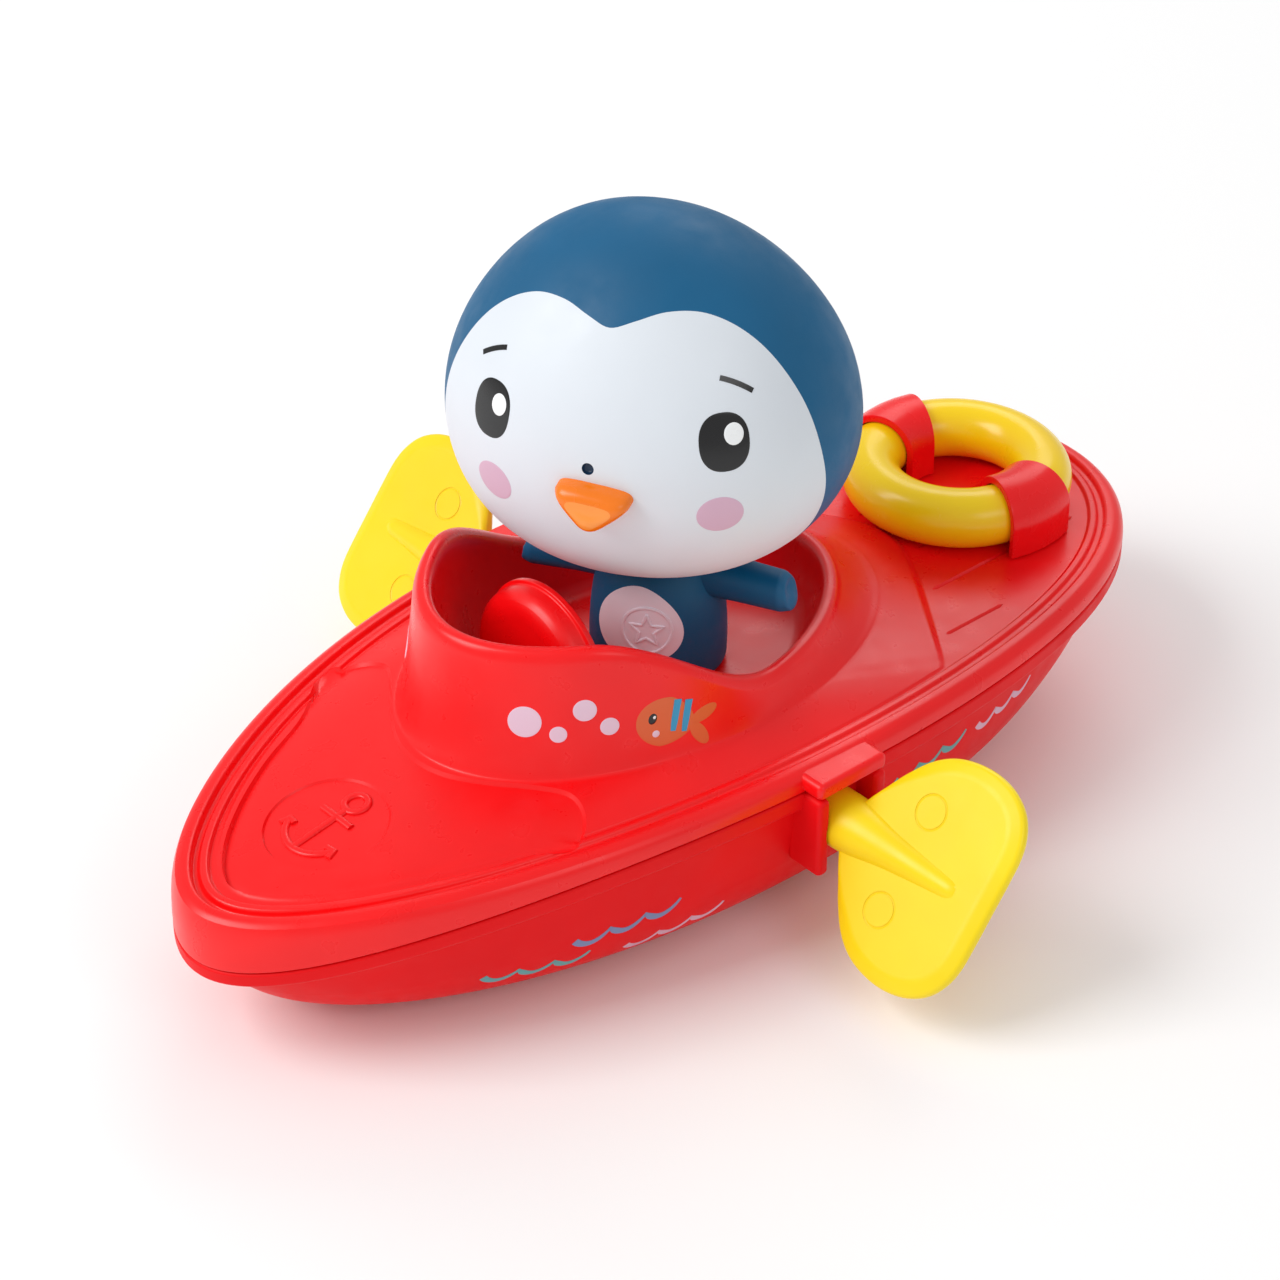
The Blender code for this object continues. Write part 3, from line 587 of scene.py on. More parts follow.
def breadth_shape(turn):
    """Half breadth over half beam: fuller at the stern than at the bow."""
    wave = 50.2 * math.sin(turn) - 3.7 * math.sin(2 * turn)
    wave += 0.9 * math.sin(3 * turn) - 0.8 * math.sin(4 * turn)
    return wave / 49.3


def turns():
    return [2 * math.pi * (k + 0.5) / STATIONS for k in range(STATIONS)]


def plan(bow, stern, half_beam):
    middle = (bow + stern) / 2
    half = (bow - stern) / 2
    curve = []
    for turn in turns():
        side = 1 if turn < math.pi else -1
        inner = turn if turn < math.pi else 2 * math.pi - turn
        curve.append((middle + half * math.cos(turn), side * half_beam * breadth_shape(inner)))
    return curve


def inset(curve, distance):
    """The closed curve moved inwards along its normals."""
    moved = []
    count = len(curve)
    for k in range(count):
        before = curve[k - 1]
        after = curve[(k + 1) % count]
        dx = after[0] - before[0]
        dy = after[1] - before[1]
        size = math.hypot(dx, dy)
        moved.append((curve[k][0] - distance * dy / size, curve[k][1] + distance * dx / size))
    return moved


def well(grow):
    curve = []
    for turn in turns():
        x = WELL_X + (WELL_HALF_LENGTH + grow) * math.cos(turn)
        y = (WELL_HALF_BREADTH + grow) * math.sin(turn) - 0.8 * math.sin(3 * turn)
        curve.append((x, y))
    return curve


def oval(front, rear, half_breadth):
    middle = (front + rear) / 2
    half = (front - rear) / 2
    return [(middle + half * math.cos(t), half_breadth * math.sin(t)) for t in turns()]


def rim_height(x):
    """The coaming stands high round the bow end of the well and low at the stern end."""
    return 14.0 + 17.5 * smooth(x / 38.0)


def apron_edge(y):
    return -57.6 + 0.72 * (math.sqrt(y * y + 64.0) - 8.0)


def mix(a, b, share):
    return (a[0] + (b[0] - a[0]) * share, a[1] + (b[1] - a[1]) * share)


def lifted(curve, height):
    """Ring from a plan curve: height is one number, or a function of x and y."""
    rise = height if callable(height) else lambda x, y: height
    return [(x, y, PARTING_Z + rise(x, y)) for x, y in curve]


# ---- deck


def apron_share(foot, bead):
    """How far from the cowl's foot towards the bead the raised deck ends."""
    if bead[0] > apron_edge(bead[1]):
        return 0.93
    low = 0.0
    high = 1.0
    for _ in range(20):
        middle = (low + high) / 2
        point = mix(foot, bead, middle)
        if point[0] > apron_edge(point[1]):
            low = middle
        else:
            high = middle
    return min(low, 0.93)


RIM_STEPS = (
    # distance in from the outline, height above the parting line, corner radius
    (6.8, BEAD_TOP, 0.3),
    (5.6, BEAD_TOP, 0.35),
    (5.2, BEAD_TOP - 0.7, 0.3),
    (4.1, BEAD_TOP - 0.7, 0.3),
    (3.7, RIM_TOP, 0.5),
    (1.9, RIM_TOP, 1.5),
    (0.3, RIM_TOP - 1.3, 1.2),
    (0.0, RIM_TOP - 3.0, 0.6),
    (0.0, PARTING_GAP / 2 + 0.25, 0.2),
    (0.3, PARTING_GAP / 2, 0.2),
    (WALL, PARTING_GAP / 2, 0.0),
    (WALL + 0.4, RIM_TOP - WALL - 0.4, 0.0),
)


def deck_rings():
    outline = plan(LENGTH / 2, -LENGTH / 2, HALF_BEAM)
    bead_foot = inset(outline, 7.2)
    foot = oval(58.5, -47.5, 34.5)
    shares = [apron_share(a, b) for a, b in zip(foot, bead_foot)]
    apron = [mix(a, b, s) for a, b, s in zip(foot, bead_foot, shares)]
    tray = [mix(a, b, s + 0.03) for a, b, s in zip(foot, bead_foot, shares)]
    in_tray = [s < 0.925 and b[0] < 0 for s, b in zip(shares, bead_foot)]

    def tray_ring(curve, low, high, drop=0.0):
        ring = []
        for (x, y), sunk, share in zip(curve, in_tray, shares):
            part = smooth((0.93 - share) / 0.3) if sunk else 0.0
            ring.append((x, y, PARTING_Z + high + (low - high) * part - drop))
        return ring

    pairs = [
        (lifted(well(-14.0), WELL_FLOOR_Z), 0.0),
        (lifted(well(-3.6), WELL_FLOOR_Z), 2.4),
        (lifted(well(-1.9), lambda x, y: 0.5 * rim_height(x)), 6.0),
    ]
    for grow, below, radius in ((-0.5, 1.6, 1.2), (0.3, 0.1, 0.8), (2.3, 0.1, 1.0), (3.3, 2.0, 0.9)):
        pairs.append((lifted(well(grow), lambda x, y: rim_height(x) - below), radius))
    top = well(3.3)
    for share in (0.05, 0.1, 0.16, 0.22, 0.3, 0.38, 0.46, 0.55, 0.64, 0.73, 0.82, 0.91):
        ring = []
        rise = (1 - share) ** 1.6 * (1 - 0.06 * math.sin(math.pi * share))
        for inner, outer in zip(top, foot):
            x, y = mix(inner, outer, share)
            high = rim_height(inner[0]) - 2.0
            ring.append((x, y, PARTING_Z + COWL_FOOT_Z + (high - COWL_FOOT_Z) * rise))
        pairs.append((ring, 0.0))
    pairs += [
        (lifted(foot, COWL_FOOT_Z - 0.2), 1.6),
        (tray_ring(apron, APRON_Z, BEAD_TOP - 0.2), 0.5),
        (tray_ring(tray, TRAY_Z, BEAD_TOP - 0.5), 0.5),
        (tray_ring(bead_foot, TRAY_Z, BEAD_TOP - 0.6), 0.35),
    ]
    pairs += [(lifted(inset(outline, inwards), height), radius) for inwards, height, radius in RIM_STEPS]
    # The underside, from the skirt in to the well's floor
    peak = []
    for inner, outer in zip(well(0.6), foot):
        x, y = mix(inner, outer, 0.18)
        peak.append((x, y, PARTING_Z + COWL_FOOT_Z - WALL + 0.35 * (rim_height(inner[0]) - COWL_FOOT_Z)))
    underside = [
        tray_ring(inset(outline, 7.8), TRAY_Z, BEAD_TOP - 0.6, WALL),
        tray_ring(tray, TRAY_Z, BEAD_TOP - 0.6, WALL),
        tray_ring(apron, APRON_Z, BEAD_TOP - 0.2, WALL + 1.0),
        lifted([mix(a, b, 0.1) for a, b in zip(foot, top)], COWL_FOOT_Z - WALL - 0.6),
        peak,
        lifted(well(-1.2), WELL_FLOOR_Z),
        lifted(well(-3.4), WELL_FLOOR_Z - WALL),
        lifted(well(-14.0), WELL_FLOOR_Z - WALL),
    ]
    return soften(pairs + [(ring, 0.0) for ring in underside])


def fore_panel():
    """Outline of the shallow panel on the fore deck: it follows the rim and bends round the cowl."""
    rim = inset(plan(LENGTH / 2, -LENGTH / 2, HALF_BEAM), 9.9)
    half = [rim[k] for k in range(4, STATIONS // 2, 6) if rim[k][0] > 60.0]
    half += [(54.8, 35.2), (49.8, 33.8), (46.8, 30.4), (46.3, 26.2), (49.4, 21.2), (55.0, 14.0), (58.9, 7.0)]
    whole = [(rim[0][0], 0.0)] + half + [(60.2, 0.0)] + [(x, -y) for x, y in reversed(half)]
    return [(p.x, p.y) for p in curve_through(whole, 6)]


def sink(deck, outline, centre, depth, spread):
    """Lowers the part of the deck inside a plan outline by depth, with a sloped edge."""
    tree = tree_of(deck)

    def on_deck(x, y, rise):
        point, _, _, _ = tree.ray_cast(Vector((x, y, PARTING_Z + 60.0)), -UP, 90.0)
        return Vector((x, y, point.z + rise))

    rows = 16
    rings = []
    for row in range(1, rows + 1):
        rings.append([on_deck(*mix(centre, point, row / rows), -depth) for point in outline])
    rings.append([on_deck(x, y, 0.3) for x, y in inset(outline, -spread * (depth + 0.3) / depth)])
    top = max(point.z for point in rings[-1]) + 1.0
    rings.append([(x, y, top) for x, y, _ in rings[-1]])
    combine(deck, skin("cutter", rings), "DIFFERENCE")


GROOVE_DEPTH = 0.55
GROOVE_WIDTH = 0.8
PLANK_GROOVES = (
    # distance from the middle, front end, rear end
    (8.0, -58.0, -70.0),
    (20.5, -50.0, -76.0),
    (20.5, -83.0, -91.0),
    (33.0, -41.0, -58.0),
)


def groove(x0, x1, y):
    """A V-shaped cutter along X in the sunk after deck."""
    top = PARTING_Z + TRAY_Z
    rings = []
    for x, share in ((x1, 0.2), (x1 + 0.8, 1.0), (x0 - 0.8, 1.0), (x0, 0.2)):
        half = GROOVE_WIDTH * (0.5 + share) / 2 + 0.2
        rings.append([(x, y - half, top + 0.4), (x, y, top - GROOVE_DEPTH * share), (x, y + half, top + 0.4)])
    return skin("groove", rings)


def make_deck():
    deck = skin("deck_moulding", deck_rings(), DECK_RED)
    heights = (PARTING_Z + PARTING_GAP / 2, PARTING_Z + RIM_TOP - 0.6)
    combine(deck, [side_block(side, (-9.2, 7.7), (45.0, 53.0), heights, 1.3) for side in (1, -1)], "UNION")
    peg = ((0, 1.0), (PEG_R, 1.0), (PEG_R, 5.2), (PEG_R - 0.8, 6.0), (0, 6.0))
    fillings = [turned("peg", peg, Matrix.Translation((FIGURE_X, 0, PARTING_Z)), 48)]
    pilots = []
    for x, y in SCREW_PLACES:
        where = Matrix.Translation((x, y, 0))
        fillings.append(rod(3.4, 18.3, PARTING_Z + (4.8 if x > 0 else TRAY_Z - 1.0), where, 24))
        pilot = ((0, 17.0), (1.65, 17.0), (1.65, 29.0), (0, 29.6))
        pilots.append(turned("pilot", pilot, where, 16))
    combine(deck, fillings, "UNION")
    combine(deck, pilots, "DIFFERENCE")
    sink(deck, fore_panel(), (82.0, 0.0), 0.65, 0.5)
    badge = [(BADGE_X + BADGE_R * math.cos(a), BADGE_R * math.sin(a)) for a in turns()[::3]]
    sink(deck, badge, (BADGE_X, 0.0), 0.4, 0.35)
    grooves = []
    for side in (1, -1):
        for y, front, rear in PLANK_GROOVES:
            grooves.append(groove(front - 1.5, rear, side * y))
    grooves.append(groove(-72.0, -94.0, 0.0))
    combine(deck, grooves, "DIFFERENCE")
    drop_bow(deck)
    return deck


RELIEF_SECTION = ((-1, -0.3), (-1, 0.4), (-0.75, 0.85), (-0.35, 1), (0.35, 1), (0.75, 0.85), (1, 0.4), (1, -0.3))


def relief(name, patch, path, half_width, height, material):
    """A raised rounded bar along a 2-D path on a patch."""
    section = [(share, height * level) for share, level in RELIEF_SECTION]
    return swept(name, patch, path, [half_width] * len(path), section, material)


def anchor_bars(size):
    """Paths of a plain anchor, size from ring to crown."""
    eye = 0.13 * size
    ring = [(eye * math.sin(t), 0.40 * size - eye * math.cos(t)) for t in angles(24) + [2 * math.pi]]
    shank = [(0.0, 0.27 * size - 0.72 * size * k / 8) for k in range(9)]
    stock = [(size * (-0.24 + 0.48 * k / 6), 0.14 * size) for k in range(7)]
    arms = []
    for k in range(25):
        a, b = polar(0.40 * size, math.radians(-158.0 + 136.0 * k / 24))
        arms.append((a, -0.05 * size + b))
    bars = [ring, shank, stock, arms]
    for side in (1, -1):
        a, b = side * 0.375 * size, -0.19 * size
        bars.append([(a - side * 0.10 * size, b - 0.02 * size), (a, b), (a + side * 0.03 * size, b - 0.11 * size)])
    return bars


# ---- hull

HULL_LEVELS = (
    # height, bow, stern, half beam
    (-4.3, 108.6, -108.4, 46.6),
    (-14.0, 106.0, -101.0, 45.8),
    (-22.0, 101.0, -92.0, 43.8),
    (-27.0, 95.0, -85.0, 40.6),
    (-31.0, 87.0, -78.0, 34.4),
    (-33.3, 80.0, -73.0, 26.0),
)
KEEL = (-34.0, 75.0, -71.0, 20.0)


HOUSING = (
    # two flanges and the pad between them: x range from the axle, outer y, lowest z, bevel
    ((4.9, 7.7), 53.0, 17.0, 1.1),
    ((-9.2, -6.4), 53.0, 17.0, 1.1),
    ((-7.0, 5.4), 47.9, 18.0, 0.0),
)


def hull_rings():
    outline = plan(LENGTH / 2, -LENGTH / 2, HALF_BEAM)
    pairs = [
        (lifted(plan(70.0, -68.0, 13.0), -31.9), 0.0),
        (lifted(inset(plan(*HULL_LEVELS[4][1:]), WALL), -30.2), 0.0),
    ]
    for height, *edges in reversed(HULL_LEVELS[1:4]):
        pairs.append((lifted(inset(plan(*edges), WALL), height + 0.6), 0.0))
    pairs += [
        (lifted(inset(plan(*HULL_LEVELS[0][1:]), WALL + 0.2), -3.6), 0.0),
        (lifted(inset(outline, WALL + 0.8), -PARTING_GAP / 2), 0.0),
        (lifted(inset(outline, 0.3), -PARTING_GAP / 2), 0.2),
        (lifted(outline, -PARTING_GAP / 2 - 0.3), 0.2),
        (lifted(outline, -3.2), 0.5),
        (lifted(inset(outline, 0.7), -4.0), 0.4),
    ]
    for height, *edges in HULL_LEVELS:
        pairs.append((lifted(plan(*edges), height), 0.3 if height > -5 else 5.0))
    pairs.append((lifted(plan(*KEEL[1:]), KEEL[0]), 2.0))
    pairs.append((lifted(plan(66.0, -62.0, 12.0), KEEL[0]), 0.0))
    return soften(pairs)


def make_hull():
    hull = skin("hull_moulding", hull_rings(), HULL_RED)
    top = PARTING_Z - PARTING_GAP / 2
    for x_range, outer, low, bevel in HOUSING:
        combine(hull, [side_block(side, x_range, (44.6, outer), (low, top), bevel) for side in (1, -1)], "UNION")
    # The hole for the seal, then the space where the paddle's hub turns
    for radius, inner, depth, steps in ((4.6, 41.0, 10.0, 48), (5.95, 48.0, 8.0, 64)):
        holes = [rod(radius, 0, depth, along_y(AXLE_X, y, AXLE_Z), steps) for y in (inner, -inner - depth)]
        combine(hull, holes, "DIFFERENCE")
    posts = []
    bores = []
    for x, y in SCREW_PLACES:
        where = Matrix.Translation((x, y, 0))
        posts.append(rod(5.0, 1.2, 18.0, where, 32))
        bore = ((0, -1.0), (3.9, -1.0), (3.4, 0.6), (3.4, 14.0), (1.75, 14.0), (1.75, 19.0), (0, 19.0))
        bores.append(turned("bore", bore, where, 32))
    combine(hull, posts, "UNION")
    combine(hull, bores, "DIFFERENCE")
    drop_bow(hull)
    return hull


def wave_path(cups, width, depth):
    """A row of cupped strokes, each thick where it starts and thin at its tip."""
    path = []
    widths = []
    steps = 12
    for cup in range(cups):
        for s in range(steps + 1):
            t = s / steps
            a = (cup + t) * width
            b = -depth * math.sin(math.pi * t) ** 0.8 * (1 - 0.25 * t) + 0.18 * depth * t
            path.append((a, b))
            widths.append(0.5 + 1.15 * (1 - t) ** 0.8 * min(1.0, t * 6 + (0.9 if cup == 0 else 0.35)))
    return path, widths


WAVES = (
    # start x, end x, start height, end height, material
    (71.0, 50.5, 13.4, 12.6, PRINT_TEAL),
    (55.0, 33.5, 17.2, 18.8, PRINT_SLATE),
    (43.5, 23.0, 10.6, 12.6, PRINT_ROSE),
    (-16.5, -36.5, 22.6, 24.0, PRINT_TEAL),
    (-40.0, -57.0, 23.4, 25.6, PRINT_ROSE),
)


def make_waves(hull_tree):
    made = {}
    for side in (1, -1):
        for x0, x1, z0, z1, material in WAVES:
            middle = Vector(((x0 + x1) / 2, side * 80.0, (z0 + z1) / 2))
            point, normal, _, _ = hull_tree.ray_cast(middle, Vector((0, -side, 0)), 80.0)
            if normal.y * side < 0:
                normal = -normal
            patch = Patch(hull_tree, point, normal)
            length = abs(x0 - x1)
            path, widths = wave_path(3, length / 3, 2.4)
            slope = math.atan2(z1 - z0, length)
            placed = []
            for a, b in path:
                x, y = tilted(a - length / 2, b, slope)
                # Towards the stern is to the right seen from port and to the left from starboard
                placed.append((side * x, y))
            made.setdefault(material.name, []).append(stroke("wave", patch, placed, widths, material))
    for key, parts in made.items():
        finish_prints(parts, "waves_" + key.split("_")[1], "boat")


BUBBLES = (
    # place of the middle, radius
    (48.6, 17.0, 51.4, 3.05),
    (44.5, 21.5, 49.0, 1.6),
    (40.0, 23.6, 53.5, 2.15),
    (36.5, 26.3, 49.8, 1.75),
)


def make_cowl_prints(deck_tree):
    """Bubbles and a plain little fish on both sides of the cowl."""
    bubbles = []
    fish = []
    for side in (1, -1):
        for x, y, z, radius in BUBBLES:
            normal = Vector((x - 10.0, side * y * 1.9, 9.0)).normalized()
            patch = Patch(deck_tree, (x, side * y, z), normal)
            bubbles.append(oval_print("bubble", patch, (radius, radius), PRINT_PINK, count=40))
        # The upward direction leans aft, so the tail is lower than the nose
        normal = Vector((0.26, side * 0.95, 0.14))
        patch = Patch(deck_tree, (26.0, side * 30.3, 48.0), normal, upward=(-0.31, 0.0, 0.95))
        body = []
        for turn in angles(48):
            c = math.cos(turn)
            full = 4.9 if c < 0 else 4.9 * (1 - 0.25 * c)
            body.append((side * (-0.8 + 5.8 * c), 0.2 + full * math.sin(turn)))
        fish.append(printed("fish", patch, body, PRINT_ORANGE, centre=(side * -0.8, 0.2)))
        for lean, high in ((0.62, 1.9), (-0.72, -1.9)):
            lobe = oval_print(
                "tail", patch, (2.9, 1.35), PRINT_ORANGE, (side * 6.7, high), lean=side * lean, count=28, lift=0.06
            )
            fish.append(lobe)
        for a in (0.9, 3.2):
            line = [(side * (a - 0.10 * b), b) for b in (4.7, 3.2, 1.6, 0.0, -1.6)]
            fish.append(stroke("stripe", patch, line, [1.5, 1.4, 1.4, 1.3, 1.0], PRINT_BLUE, lift=0.1))
        for name, halves, material, (a, b), count, lift, rings in (
            ("eye", (0.8, 1.1), EYE_BLACK, (-3.6, 0.6), 24, 0.1, 3),
            ("glint", (0.3, 0.35), EYE_WHITE, (-3.35, 0.95), 16, 0.14, 2),
            ("cheek", (0.7, 0.7), PRINT_PINK, (-2.2, -2.3), 20, 0.1, 3),
        ):
            fish.append(oval_print(name, patch, halves, material, (side * a, b), count=count, lift=lift, rings=rings))
    finish_prints(bubbles, "cowl_bubbles", "boat")
    finish_prints(fish, "cowl_fish", "boat")


# ---- paddles


def blade_outline():
    """The blade's outline from hub to tip, as (distance along axle, across)."""
    half = [(53.6, 3.0), (54.8, 5.4), (56.6, 9.0), (59.2, 13.4), (62.6, 17.6), (66.5, 20.3), (71.0, 21.7)]
    half += [(76.0, 22.0), (80.8, 21.0), (84.8, 18.6), (87.2, 15.2), (88.3, 11.3), (BLADE_TIP, 6.0), (BLADE_TIP, 0.0)]
    whole = [(a, -b) for a, b in half] + list(reversed(half[:-1]))
    return [(p.x, p.y) for p in curve_through(whole, 5)]


def make_paddle(name, side):
    outline = blade_outline()
    across = Vector((-math.sin(PADDLE_TILT), 0, math.cos(PADDLE_TILT)))
    normal = Vector((math.cos(PADDLE_TILT), 0, math.sin(PADDLE_TILT)))
    centre = Vector((AXLE_X, 0, AXLE_Z))
    middle = 72.0
    pairs = []
    # Height above the blade's middle plane, how far in, corner radius, scale about the blade's middle
    levels = ((-1.8, 2.8, 0.0, 0.6), (-1.8, 2.8, 0.7, 1.0), (-1.0, 0.4, 0.5, 1.0), (-0.4, 0.0, 0.3, 1.0))
    levels += tuple((-level, shrink, radius, scale) for level, shrink, radius, scale in reversed(levels))
    for level, shrink, radius, scale in levels:
        ring = []
        moved = inset(outline, shrink)
        # The bevel runs out where the blade meets the hub
        for (a, b), (c, d) in zip(outline, moved):
            share = smooth((a - 54.0) / 9.0)
            a = middle + (a + (c - a) * share - middle) * scale
            b = (b + (d - b) * share) * scale
            ring.append(centre + Vector((0, side * a, 0)) + across * b + normal * level)
        pairs.append((ring, radius))
    paddle = skin(name, soften(pairs, 3), YELLOW)
    frame_out = along_y(AXLE_X, 0, AXLE_Z, side)
    outer = ((0, HUB_START), (HUB_R, HUB_START), (HUB_R, 54.0), (4.9, 58.5))
    outer += ((3.9, 64.0), (3.1, 72.0), (2.4, 80.5), (0, 83.0))
    hub = turned("hub", rounded_profile(outer, (0, 0.8, 2.4, 2.4, 3.0, 3.0, 1.8, 0)), frame_out, 64)
    combine(paddle, hub, "UNION")
    combine(paddle, rod(1.54, HUB_START - 1, 62.0, frame_out, 32), "DIFFERENCE")
    marks = []
    for sign in (1, -1):
        for face in (1, -1):
            spot = centre + Vector((0, side * 68.5, 0)) + across * (sign * 10.0) + normal * (face * 1.8)
            turn = normal.to_track_quat("Z", "Y").to_matrix().to_4x4()
            ring = ((3.0, -0.14), (3.25, -0.24), (3.5, -0.14), (3.5, 0.2), (3.0, 0.2))
            ring = tuple((r, face * h) for r, h in ring)
            marks.append(turned("mark", ring, Matrix.Translation(spot) @ turn, 48))
    combine(paddle, marks, "DIFFERENCE")
    return paddle


# ---- fittings


STRAP_OUT = 7.7
STRAP_IN = 6.15
STRAP_MIDDLE = 6.9
STRAP_EDGES = (
    # degrees along the ring, how far the long edges are rounded over
    (-19.0, 0.45),
    (-18.7, 0.1),
    (-18.0, 0.0),
    (-9.0, 0.0),
    (0.0, 0.0),
    (9.0, 0.0),
    (18.0, 0.0),
    (18.7, 0.1),
    (19.0, 0.45),
)


def make_buoy():
    base = PARTING_Z + TRAY_Z + PARTING_GAP + BUOY_TUBE
    rings = []
    for angle in angles(48):
        reach = BUOY_R + BUOY_TUBE * math.cos(angle)
        height = base + BUOY_TUBE * math.sin(angle)
        rings.append([(BUOY_X + reach * math.cos(turn), reach * math.sin(turn), height) for turn in angles(120)])
    ring = skin("lifebuoy_ring", rings + [rings[0]], BUOY_YELLOW, capped=False)
    finish_piece(ring, "boat", ["lifebuoy"], weighted=False)
    foot = PARTING_Z + TRAY_Z + PARTING_GAP - base
    arch = [(STRAP_OUT, foot)] + half_turn(STRAP_OUT) + [(-STRAP_OUT, foot), (-STRAP_IN, foot)]
    arch += [(-r, h) for r, h in half_turn(STRAP_IN)] + [(STRAP_IN, foot)]
    middle = []
    for r, h in arch:
        if h > 0:
            scale = STRAP_MIDDLE / math.hypot(r, h)
            middle.append((r * scale, h * scale))
        else:
            middle.append((math.copysign(STRAP_MIDDLE, r), h))
    for name, heading in (("lifebuoy_strap_port", math.pi / 2), ("lifebuoy_strap_starboard", -math.pi / 2)):
        rings = []
        for degrees, share in STRAP_EDGES:
            turn = heading + math.radians(degrees)
            ring = []
            for (r, h), (cr, ch) in zip(arch, middle):
                reach = BUOY_R + r + (cr - r) * share
                ring.append((BUOY_X + reach * math.cos(turn), reach * math.sin(turn), base + h + (ch - h) * share))
            rings.append(ring)
        finish_piece(band(name + "_band", rings, STRAP_RED), "boat", [name])


def half_turn(radius):
    return [polar(radius, math.pi * k / 24) for k in range(25)]


def band(name, rings, material):
    """A band with an arch-shaped section: its ends are closed by strips across the band's thickness."""
    count = len(rings[0])
    half = count // 2
    points = [p for ring in rings for p in ring]
    faces = []
    for row in range(len(rings) - 1):
        for k in range(count):
            nxt = (k + 1) % count
            faces.append((row * count + k, row * count + nxt, (row + 1) * count + nxt, (row + 1) * count + k))
    for start in (0, (len(rings) - 1) * count):
        for k in range(half - 1):
            faces.append((start + k, start + k + 1, start + count - 2 - k, start + count - 1 - k))
    return add_mesh(name, points, faces, material)


def make_console():
    """The helm hump across the well: a half disc with a rounded forward edge and a thin lip aft."""
    floor = PARTING_Z + WELL_FLOOR_Z + PARTING_GAP
    pairs = []
    for x, radius, soft in (
        (28.0, 9.0, 0.0),
        (28.0, 15.7, 0.25),
        (28.2, 16.0, 0.2),
        (29.3, 16.0, 0.25),
        (29.5, 15.3, 0.3),
        (32.6, 15.1, 2.0),
        (34.4, 12.6, 2.0),
        (34.4, 6.0, 0.0),
    ):
        ring = [(x, radius, floor)]
        for k in range(41):
            angle = math.pi * k / 40
            ring.append((x, radius * math.cos(angle), PARTING_Z + 13.0 + radius * math.sin(angle)))
        ring.append((x, -radius, floor))
        pairs.append((ring, soft))
    console = skin("helm_hump", soften(pairs, 5), DECK_RED)
    finish_piece(console, "boat", ["helm_console"])


# ---- figure


def figure_frame():
    return Matrix.Translation((FIGURE_X, 0, 0)) @ Matrix.Rotation(FIGURE_TURN, 4, "Z")


def head_frame():
    """The head sits a little tilted to its right on the neck."""
    neck = Matrix.Translation((0, 0, PARTING_Z + 28.0))
    return figure_frame() @ neck @ Matrix.Rotation(HEAD_TILT, 4, "X") @ neck.inverted()


def make_body():
    base = PARTING_Z + WELL_FLOOR_Z + PARTING_GAP
    outer = (
        (4.25, base),
        (11.6, base),
        (12.9, base + 0.6),
        (13.1, base + 6.0),
        (12.7, base + 13.0),
        (11.8, base + 19.0),
        (10.2, base + 23.0),
        (7.6, base + 25.2),
        (5.9, base + 25.8),
        (5.9, base + 30.5),
        (0.0, base + 30.5),
    )
    profile = rounded_profile(outer, (0, 0.8, 0.8, 3.0, 3.0, 2.4, 2.0, 0.9, 0.5, 0.5, 0))
    profile += [(0.0, base + 4.6), (4.25, base + 4.6)]
    body = turned("figure_body_shape", profile, figure_frame(), 96, VINYL_NAVY)
    for side in (1, -1):
        start = Vector((0, side * 9.5, PARTING_Z + 22.6))
        end = Vector((0, side * 26.0, PARTING_Z + 21.4))
        combine(body, flipper(start, end, side), "UNION")
    tree = tree_of(body)
    pieces = make_belly(tree, base)
    finish_piece(body, "figure", ["figure_body"], sharp=50.0)
    for piece in pieces:
        finish_piece(piece, "figure", weighted=False)


def flipper(start, end, side):
    axis = (end - start).normalized()
    up = Vector((0, -axis.z * side, abs(axis.y)))
    out = axis.cross(up)
    pairs = []
    for share, wide, tall, slant, soft in (
        (0.0, 4.6, 4.3, 0.0, 0.0),
        (0.35, 4.15, 3.85, 0.0, 3.0),
        (0.9, 3.95, 3.65, 0.6, 0.5),
        (1.0, 3.2, 2.9, 1.0, 0.5),
        (1.0, 1.0, 0.9, 1.0, 0.0),
    ):
        centre = start + (end - start) * share
        ring = []
        for angle in angles(48):
            c = math.cos(angle)
            s = math.sin(angle)
            across = out * wide * math.copysign(abs(c) ** 0.9, c)
            rise = up * tall * math.copysign(abs(s) ** 0.9, s)
            ring.append(figure_frame() @ (centre + across + rise - axis * (slant * s)))
        pairs.append((ring, soft))
    return skin("flipper", soften(pairs), VINYL_NAVY)


def body_patch(tree, azimuth, height):
    out = level_way(FIGURE_TURN + azimuth)
    return Patch(tree, Vector((FIGURE_X, 0, height)) + out * 12.0, out)


